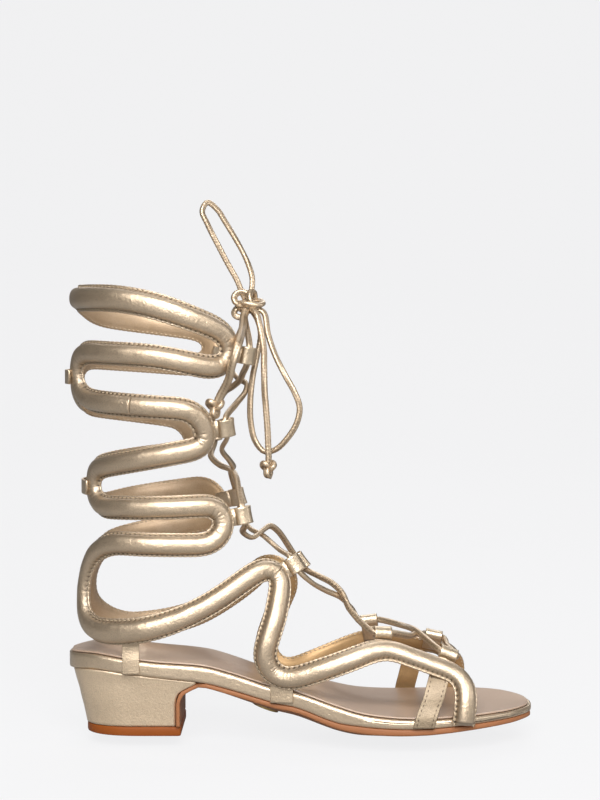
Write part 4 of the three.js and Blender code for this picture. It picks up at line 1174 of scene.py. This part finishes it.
def board_outline(x):
    """The board's half section: flat underneath, a rounded edge and a slightly dished top."""
    top, seam = profile(x, TOP), profile(x, SEAM)
    rows = [(MIDDLE_LINE, 0), (8, 0), (1.2, 0), (0.5, 0.2), (0.12, 0.7), (0, 1.4)]
    rows = [(inward, seam + up) for inward, up in rows]
    rows += [(0, seam + (top - seam) * f) for f in (0.35, 0.55, 0.7)]
    over = [(0.02, 1.7), (0.16, 1.1), (0.5, 0.5), (1.0, 0.12), (1.6, 0), (4, 0.12), (12, 0.55)]
    return rows + [(inward, top - down) for inward, down in over + [(MIDDLE_LINE, DISH)]]


board_leather = gold_leather("board_leather", (0.72, 0.56, 0.385), (0.26, 0.18, 0.1), 0.34, 0.22, 0.85)
board = grid_mesh("footbed_cover", slab_rings(stations(-35.4, 212.8, 150), 0, board_outline), board_leather)
dress(board, "gold_leather", "footbed_board")

insole_leather, add, feed = node_material("insole_leather")
cloud = object_noise(add, 30.0, 4.0)
grain = object_noise(add, 1300.0, 4.0, 0.65)
feed("Base Color", mix(add, cloud, (0.44, 0.315, 0.23), (0.375, 0.265, 0.19)))
feed("Roughness", 0.38)
feed("Coat Weight", 0.5)
feed("Coat Roughness", 0.3)
feed("Normal", bumped(add, (cloud, 0.1, 0.001), (grain, 0.22, 0.00015)))
SOCK_ROWS = [
    (MIDDLE_LINE, -DISH), (12, -0.5), (3, -0.1), (0.4, 0), (0.05, 0.2), (0, 0.45), (0.12, 0.7), (0.5, 0.86),
    (1.2, 0.86), (3, 0.78), (7, 0.66), (14, 0.3), (MIDDLE_LINE, 0.8 - DISH),
]
SOCK_INSET = 1.8


def sock_outline(x):
    """The insole's half section, laid a gap over the board's dished top."""
    low = profile(x, TOP) + GAP
    return [(inward, low + up) for inward, up in SOCK_ROWS]


sock_rings = slab_rings(stations(-33.7, 211.1, 150), SOCK_INSET, sock_outline)
insole = grid_mesh("insole_cover", sock_rings, insole_leather)
dress(insole, "sock_leather", "insole")

# ---- Outsole ----------------------------------------------------------------------------------
# Tan sole leather with a waxed, burnished edge, cemented under the footbed from the toe to the heel
# and carried down the heel's breast as a flap.
outsole_leather, add, feed = node_material("outsole_leather")
layers = object_noise(add, 160.0, 5.0, 0.6, stretch=(0.4, 0.4, 9.0))
fibres = object_noise(add, 1700.0, 3.0)
tone = mix(add, layers, (0.25, 0.095, 0.038), (0.36, 0.155, 0.07))
feed("Base Color", mix(add, ramp(add, fibres, (0.3, 0.35), (0.55, 0.0)), tone, (0.34, 0.13, 0.05)))
feed("Roughness", 0.5)
feed("Specular IOR Level", 0.25)
feed("Normal", bumped(add, (layers, 0.25, 0.0003), (fibres, 0.25, 0.00012)))
# The flap's back and front lines: x and z of each, from the lift up into the waist.
BREAST_FLAP = [
    (23.3, 5.2, 25.2, 5.2),
    (23.3, 12, 25.2, 12),
    (23.5, 18.4, 25.4, 18.2),
    (25.4, 22.9, 27.2, 21.8),
    (29.6, 25.6, 30.6, 24),
    (34.6, 28.2, 35, 26),
]


# The edge's rounding (how far out, how far down) and the tread's crown (how far across, its share).
OUTSOLE_EDGE = [(0.0, 0.18), (0.12, 0.4), (0.12, 0.65), (0.0, 0.86)]
OUTSOLE_CROWN = [(0.985, 0.0), (0.9, 0.2), (0.72, 0.62), (0.42, 1.0)]
OUTSOLE_INSET = 0.4


def outsole_ring(back, front, x, crown, narrow=1.0):
    """One ring of the outsole: its upper side, a rounded edge, and the tread's soft crown."""
    lateral, medial = (side * (plan_half(x, side) - OUTSOLE_INSET) * narrow for side in (LATERAL, MEDIAL))
    middle, half = (lateral + medial) / 2, (medial - lateral) / 2
    (back_x, back_z), (front_x, front_z) = back, front

    def edge(limit, side, rows):
        return [(back_x + f * (front_x - back_x), limit + side * (out - 0.1), back_z + f * (front_z - back_z))
                for out, f in rows]

    def tread(side, rows):
        return [(front_x, middle + side * f * half, front_z - crown * share) for f, share in rows]

    upper = [(back_x, middle + f * (half - 0.25), back_z) for f in (-1, -0.5, 0, 0.5, 1)]
    under = tread(1, OUTSOLE_CROWN) + tread(1, [(0, 1.0)]) + tread(-1, OUTSOLE_CROWN[::-1])
    return upper + edge(medial, 1, OUTSOLE_EDGE) + under + edge(lateral, -1, OUTSOLE_EDGE[::-1])


flap_lines = [smooth_path([(row[k], row[k + 1], 0) for row in BREAST_FLAP], 1.0) for k in (0, 2)]
flap_count = min(len(line) for line in flap_lines)
rings = []
for f in np.linspace(0, 1, flap_count):
    back, front = (line[int(round(f * (len(line) - 1)))][:2] for line in flap_lines)
    rings.append(outsole_ring(back, front, back[0], 0, 0.9))
for x in stations(39, 211.8, 120):
    seam, edge, middle = row_at(PROFILE, x, SEAM, EDGE, MIDDLE)
    rings.append(outsole_ring((x, seam - GAP), (x, edge), x, edge - max(0.0, middle)))
outsole = grid_mesh("outsole_leather_piece", np.array(rings), outsole_leather)
dress(outsole, "sole_leather", "outsole")

# ---- Heel and top lift ------------------------------------------------------------------------
# A low block covered with the gold leather, wrapped round to the breast, on an orange-brown lift that
# is a little larger all round. Level sections of the heel: z, back line, breast, half width.
HEEL = table(
    (5.1, -26, 22.9, 21.4),
    (12, -27.4, 22.9, 22),
    (18.4, -29, 23.1, 22.7),
    (22.9, -30, 24.9, 23.2),
    (25.6, -30.8, 29, 23.6),
    (28.2, -31.6, 33.8, 24),
    (40, -34.5, 35, 26),
)
HEEL_CORNER = 1.3
HEEL_BOTTOM = 5.1
HEEL_FIRST_TOP = 35.0


def heel_outline(back, breast, half, count=56):
    """A D-shaped outline: a round back, straight sides and rounded breast corners."""
    deep = (breast - back) * 0.62
    angle = np.linspace(-0.5, 0.5, count) * math.pi
    y = np.sign(np.sin(angle)) * np.abs(np.sin(angle)) ** 0.8 * half
    x = back + deep * (1 - np.maximum(np.cos(angle), 0) ** 0.8)
    corner = [(breast - HEEL_CORNER * (1 - math.sin(a)), half - HEEL_CORNER * (1 - math.cos(a)))
              for a in np.linspace(0, math.pi / 2, 6)]
    sides = [(x[-1] + f * (corner[0][0] - x[-1]), half) for f in (0.25, 0.5, 0.75)]
    right = sides + corner + [(breast, half * f) for f in (0.6, 0.2)]
    left = [(a, -b) for a, b in right[::-1]]
    return np.array(list(zip(x, y)) + right + left)


def heel_at(z):
    return heel_outline(*row_at(HEEL, z, 1, 2, 3))


# Each point of the outline has its own top, just under the footbed's seam; a few rounds settle it.
rings = []
for f in np.linspace(0, 1, 26):
    top = np.full(len(heel_at(HEEL_BOTTOM)), HEEL_FIRST_TOP)
    for _ in range(4):
        heights = HEEL_BOTTOM + f * (top - HEEL_BOTTOM)
        outline = np.array([heel_at(z)[k] for k, z in enumerate(heights)])
        top = np.array([profile(min(heel_at(t)[k][0], 60), SEAM) for k, t in enumerate(top)]) - GAP
    rings.append(np.column_stack([outline, HEEL_BOTTOM + f * (top - HEEL_BOTTOM)]))
heel_leather = gold_leather("heel_leather", (0.82, 0.64, 0.44), (0.3, 0.21, 0.12), 0.42, 0.25, 0.72)
heel = grid_mesh("heel_cover", np.array(rings), heel_leather)
dress(heel, "gold_leather", "heel_block")

lift_rubber, add, feed = node_material("lift_rubber")
speckle = object_noise(add, 900.0, 3.0)
feed("Base Color", mix(add, object_noise(add, 60.0), (0.27, 0.072, 0.012), (0.21, 0.052, 0.008)))
feed("Specular IOR Level", 0.2)
feed("Roughness", 0.5)
feed("Normal", bumped(add, (speckle, 0.2, 0.00015)))
# The lift's height and how far in its edge lies there.
LIFT_ROWS = [(0, 0.5), (0.15, 0.15), (0.5, 0), (4.2, 0), (4.65, 0.2), (4.8, 0.6)]
rings = []
for z, inward in LIFT_ROWS:
    outline = heel_outline(-25.6 + inward, 25.6 - inward, 21.8 - inward)
    rings.append(np.column_stack([outline, np.full(len(outline), z)]))
lift = grid_mesh("top_lift_piece", np.array(rings), lift_rubber)
dress(lift, "lift_rubber", "top_lift")

# ---- Tabs, flat straps and keepers ------------------------------------------------------------
# Single strips of the gold leather with skived, softly rounded edges: tabs that tie the padded strap
# to the footbed, two flat straps that cross at the toe, and keepers round the back turns.
STRIP_ROUNDING = 0.35
STRIP_POINTS = 20


def strip_rings(path, outward, width, thick, across):
    """Rings of a flat strip along a path; outward and across give its thickness and width ways."""
    x, y = [], []
    for way_x, way_y, start in ((-1, -1, 180), (1, -1, 270), (1, 1, 0), (-1, 1, 90)):
        for angle in np.radians(start + np.linspace(0, 90, STRIP_POINTS // 4)):
            x.append(way_x * (width / 2 - STRIP_ROUNDING) + STRIP_ROUNDING * math.cos(angle))
            y.append(thick / 2 + way_y * (thick / 2 - STRIP_ROUNDING) + STRIP_ROUNDING * math.sin(angle))
    x, y = np.array(x), np.array(y)
    puffed = y + 0.12 * thick * (y > thick / 2) * np.cos(math.pi * x / width)
    return path[:, None] + x[:, None] * across[:, None] + puffed[:, None] * outward[:, None]


def down_strip(name, node, side, rows, width, thick, leans=0.0):
    """A strip laid on the shoe's side; rows are (x, z, distance out from the middle plane)."""
    line = smooth_path([(x, side * out, z) for x, z, out in rows], 0.9)
    t = tangents(line)
    across = np.tile(np.array([1.0, 0, 0]), (len(line), 1))
    outward = unit(np.cross(t, across))
    outward *= np.sign(outward[:, 1] * side)[:, None]
    across = unit(across + leans * np.array([0, side, 0]))
    piece = grid_mesh(name, strip_rings(line, outward, width, thick, across), tab_leather)
    dress(piece, "gold_leather", node)
    return piece


tab_leather = gold_leather("tab_leather", (0.66, 0.51, 0.345), (0.16, 0.11, 0.055), 0.44, 0.5)
# The flat straps wear the gold darkened, as painted shade that dulls the highlight on their flat faces.
flat_leather = gold_leather("flat_leather", (0.40, 0.31, 0.21), STRAP_DARK, 0.58, 0.9, 0.75, 0.15)
flat_lining = lining_leather("flat_lining", LINING_TAN, LINING_TAN)
HEEL_TAB_TOP = {LATERAL: [(47, 26), (55, 26.6)], MEDIAL: [(44.4, 24.6), (51, 25.6)]}
# Each waist tab's station and how far it reaches over the footbed.
WAIST_TAB = {LATERAL: (78.7, 5), MEDIAL: (80, 2.6)}
TAB_THICK = 1.2
HEEL_TAB_WIDTH = 9
WAIST_TAB_WIDTH = 12
for side, label in SIDE_NAMES.items():
    beside = plan_half(0, side) + GAP
    rows = [(0, profile(0, SEAM) + 0.4, beside), (0, profile(0, TOP) - 0.2, beside)]
    rows += [(0, z, out) for z, out in HEEL_TAB_TOP[side]]
    down_strip("heel_tab_%s_leather" % label, "heel_tab_" + label, side, rows, HEEL_TAB_WIDTH, TAB_THICK)
    x, over = WAIST_TAB[side]
    beside = plan_half(x, side) + GAP
    rows = [(x, z, beside) for z in (profile(x, SEAM) + 1.2, profile(x, TOP) + 0.6, profile(x, TOP) + over)]
    slope = (plan_half(x + 6, side) - plan_half(x - 6, side)) / 12
    name = "waist_tab_%s" % label
    down_strip(name + "_leather", name, side, rows, WAIST_TAB_WIDTH, TAB_THICK, slope)

CROSS_THICK = 1.4
CROSS_WIDTH = 11
CROSS_PATH = {
    LATERAL: [(152, 8.4), (153.4, 13.4), (155.4, 18.5), (157.6, 24), (159.4, 29.5), (161, 33.8)],
    MEDIAL: [(146.5, 8.4), (147.4, 13.4), (148.6, 19), (150, 25), (151.6, 31), (153, 36)],
}
# The ring points at the two edges of a strip's outer face, and how far in from them its seams run.
OUTER_EDGES = (14, 15)
SEAM_INSET = 0.13
flat_rows = []
for side, label in SIDE_NAMES.items():
    rows = []
    for x, z in CROSS_PATH[side]:
        beside = plan_half(x, side) + GAP
        hidden = abs(foot_point(side, x, z)[1]) - CROSS_THICK - 0.5 - GAP
        rows.append((x, z, beside if z < profile(x, TOP) + 1.6 else hidden))
    strip = down_strip("flat_strap_" + label, "cross_strap_" + label, side, rows, CROSS_WIDTH, CROSS_THICK)
    strip.data.materials.clear()
    strip.data.materials.append(flat_leather)
    strip.data.materials.append(flat_lining)
    for facet in strip.data.polygons:
        if len(facet.vertices) == 4 and all(v % STRIP_POINTS < STRIP_POINTS // 2 for v in facet.vertices):
            facet.material_index = 1
    face = np.array([v.co for v in strip.data.vertices]).reshape(-1, STRIP_POINTS, 3) / MM
    for near, far in (OUTER_EDGES, OUTER_EDGES[::-1]):
        flat_rows.append(face[2:-2, near] + SEAM_INSET * (face[2:-2, far] - face[2:-2, near]))
# The flat straps' thread is dark: it stands for the thread and also for painted shade in its needle holes.
dark_thread, add, feed = node_material("dark_thread")
feed("Base Color", mix(add, object_noise(add, 400.0), (0.12, 0.08, 0.045), (0.07, 0.045, 0.025)))
feed("Roughness", 0.6)
flat_stitches = stitched("flat_strap_stitches", flat_rows, STITCH_PITCH, 1.5, 0.5, dark_thread)
dress(flat_stitches, "gold_leather")

KEEPERS = {"back_tab_upper": 188.6, "back_tab_lower": 130.2}
KEEPER_POINTS = 33
KEEPER_STAND_OFF = 5.7
for node, z in KEEPERS.items():
    girths = np.linspace(-12, 12, KEEPER_POINTS)
    feet = np.array([leg_point(MEDIAL, g, z) for g in girths])
    outward = unit(np.column_stack([np.full(KEEPER_POINTS, -1.0), girths / 42, np.zeros(KEEPER_POINTS)]))
    path = feet + outward * (KEEPER_STAND_OFF + GAP)
    upright = np.tile(np.array([0, 0, 1.0]), (KEEPER_POINTS, 1))
    keeper = grid_mesh(node + "_leather", strip_rings(path, outward, 7.5, 1.3, upright), tab_leather)
    dress(keeper, "gold_leather", node)

# ---- Waist plate ------------------------------------------------------------------------------
# A plain oval of brushed brass under the waist, where a maker would fix a badge; the CAD node's own
# shape is right, so it only gets its metal.
plate_metal, add, feed = node_material("plate_metal")
brushed = object_noise(add, 500.0, 3.0, 0.6, stretch=(0.1, 4.0, 4.0))
feed("Base Color", (0.50, 0.35, 0.15, 1))
feed("Metallic", 1.0)
feed("Roughness", ramp(add, brushed, (0.3, 0.25), (0.7, 0.42)))
feed("Normal", bumped(add, (brushed, 0.15, 0.0001)))
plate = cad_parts["waist_plate"]
plate.data.materials.clear()
plate.data.materials.append(plate_metal)

# ---- Floor and light --------------------------------------------------------------------------
# A seamless pale sweep that stays even to the eye. One broad soft light hangs above and in front, with
# weaker ones low in front, on the right, overhead and on the inner side; the foil reflects a dim room.
floor_paint, add, feed = node_material("floor_paint")
seen = add("ShaderNodeLightPath").outputs["Is Camera Ray"]
feed("Base Color", mix(add, seen, (0.34, 0.34, 0.34), (0.07, 0.07, 0.07)))
feed("Roughness", 0.9)
feed("Specular IOR Level", 0.0)
feed("Emission Color", (0.99, 0.99, 1.0, 1))
feed("Emission Strength", add("ShaderNodeMath", {0: seen, 1: 0.84}, operation="MULTIPLY").outputs[0])
SWEEP = [(-3.0, 0), (0.6, 0), (1.0, 0.02), (1.35, 0.14), (1.55, 0.4), (1.62, 0.8), (1.62, 3.0)]
mesh = bpy.data.meshes.new("floor")
sweep = smooth_path([(y, z, 0) for y, z in SWEEP], 0.05)
verts = [(x, y, z - 0.0002) for y, z, _ in sweep for x in (-3.0, 3.0)]
mesh.from_pydata(verts, [], [(2 * k, 2 * k + 1, 2 * k + 3, 2 * k + 2) for k in range(len(sweep) - 1)])
mesh.materials.append(floor_paint)
mesh.polygons.foreach_set("use_smooth", [True] * len(mesh.polygons))
floor = bpy.data.objects.new("floor", mesh)
bpy.context.collection.objects.link(floor)


def soft_light(name, place, size, power):
    """An area light aimed at the middle of the shoe: its place, its width and height, its watts."""
    light = bpy.data.lights.new(name, "AREA")
    light.shape = "RECTANGLE"
    light.size, light.size_y = size
    light.energy = power
    lamp = bpy.data.objects.new(name, light)
    lamp.location = place
    lamp.rotation_euler = (Vector((0.08, 0, 0.1)) - Vector(place)).to_track_quat("-Z", "Y").to_euler()
    bpy.context.collection.objects.link(lamp)


soft_light("key", (0.12, -1.2, 0.9), (1.1, 0.85), 34)
soft_light("front", (0.1, -1.6, 0.3), (1.4, 0.6), 1.7)
soft_light("right", (1.5, -0.5, 0.6), (0.4, 0.9), 4)
soft_light("top", (0.1, 0.5, 1.8), (1.2, 0.6), 5)
soft_light("inner_side", (0.2, 0.95, 0.9), (1.0, 0.4), 5)

world = bpy.data.worlds.new("studio")
bpy.context.scene.world = world
world.use_nodes = True
add = node_adder(world.node_tree)
upward = add("ShaderNodeSeparateXYZ", {0: add("ShaderNodeTexCoord").outputs["Generated"]}).outputs["Z"]
rise = add("ShaderNodeMapRange", {0: upward, "From Min": -0.2, "From Max": 0.8}).outputs[0]
room = ramp(add, rise, (0.0, (0.14, 0.13, 0.12)), (1.0, (0.14, 0.14, 0.14)))
seen = add("ShaderNodeLightPath").outputs["Is Camera Ray"]
background = world.node_tree.nodes["Background"]
fill(background, 0, mix(add, seen, room, (0.88, 0.88, 0.89)))
fill(background, 1, 1.0)
bpy.context.scene.view_settings.view_transform = "Standard"
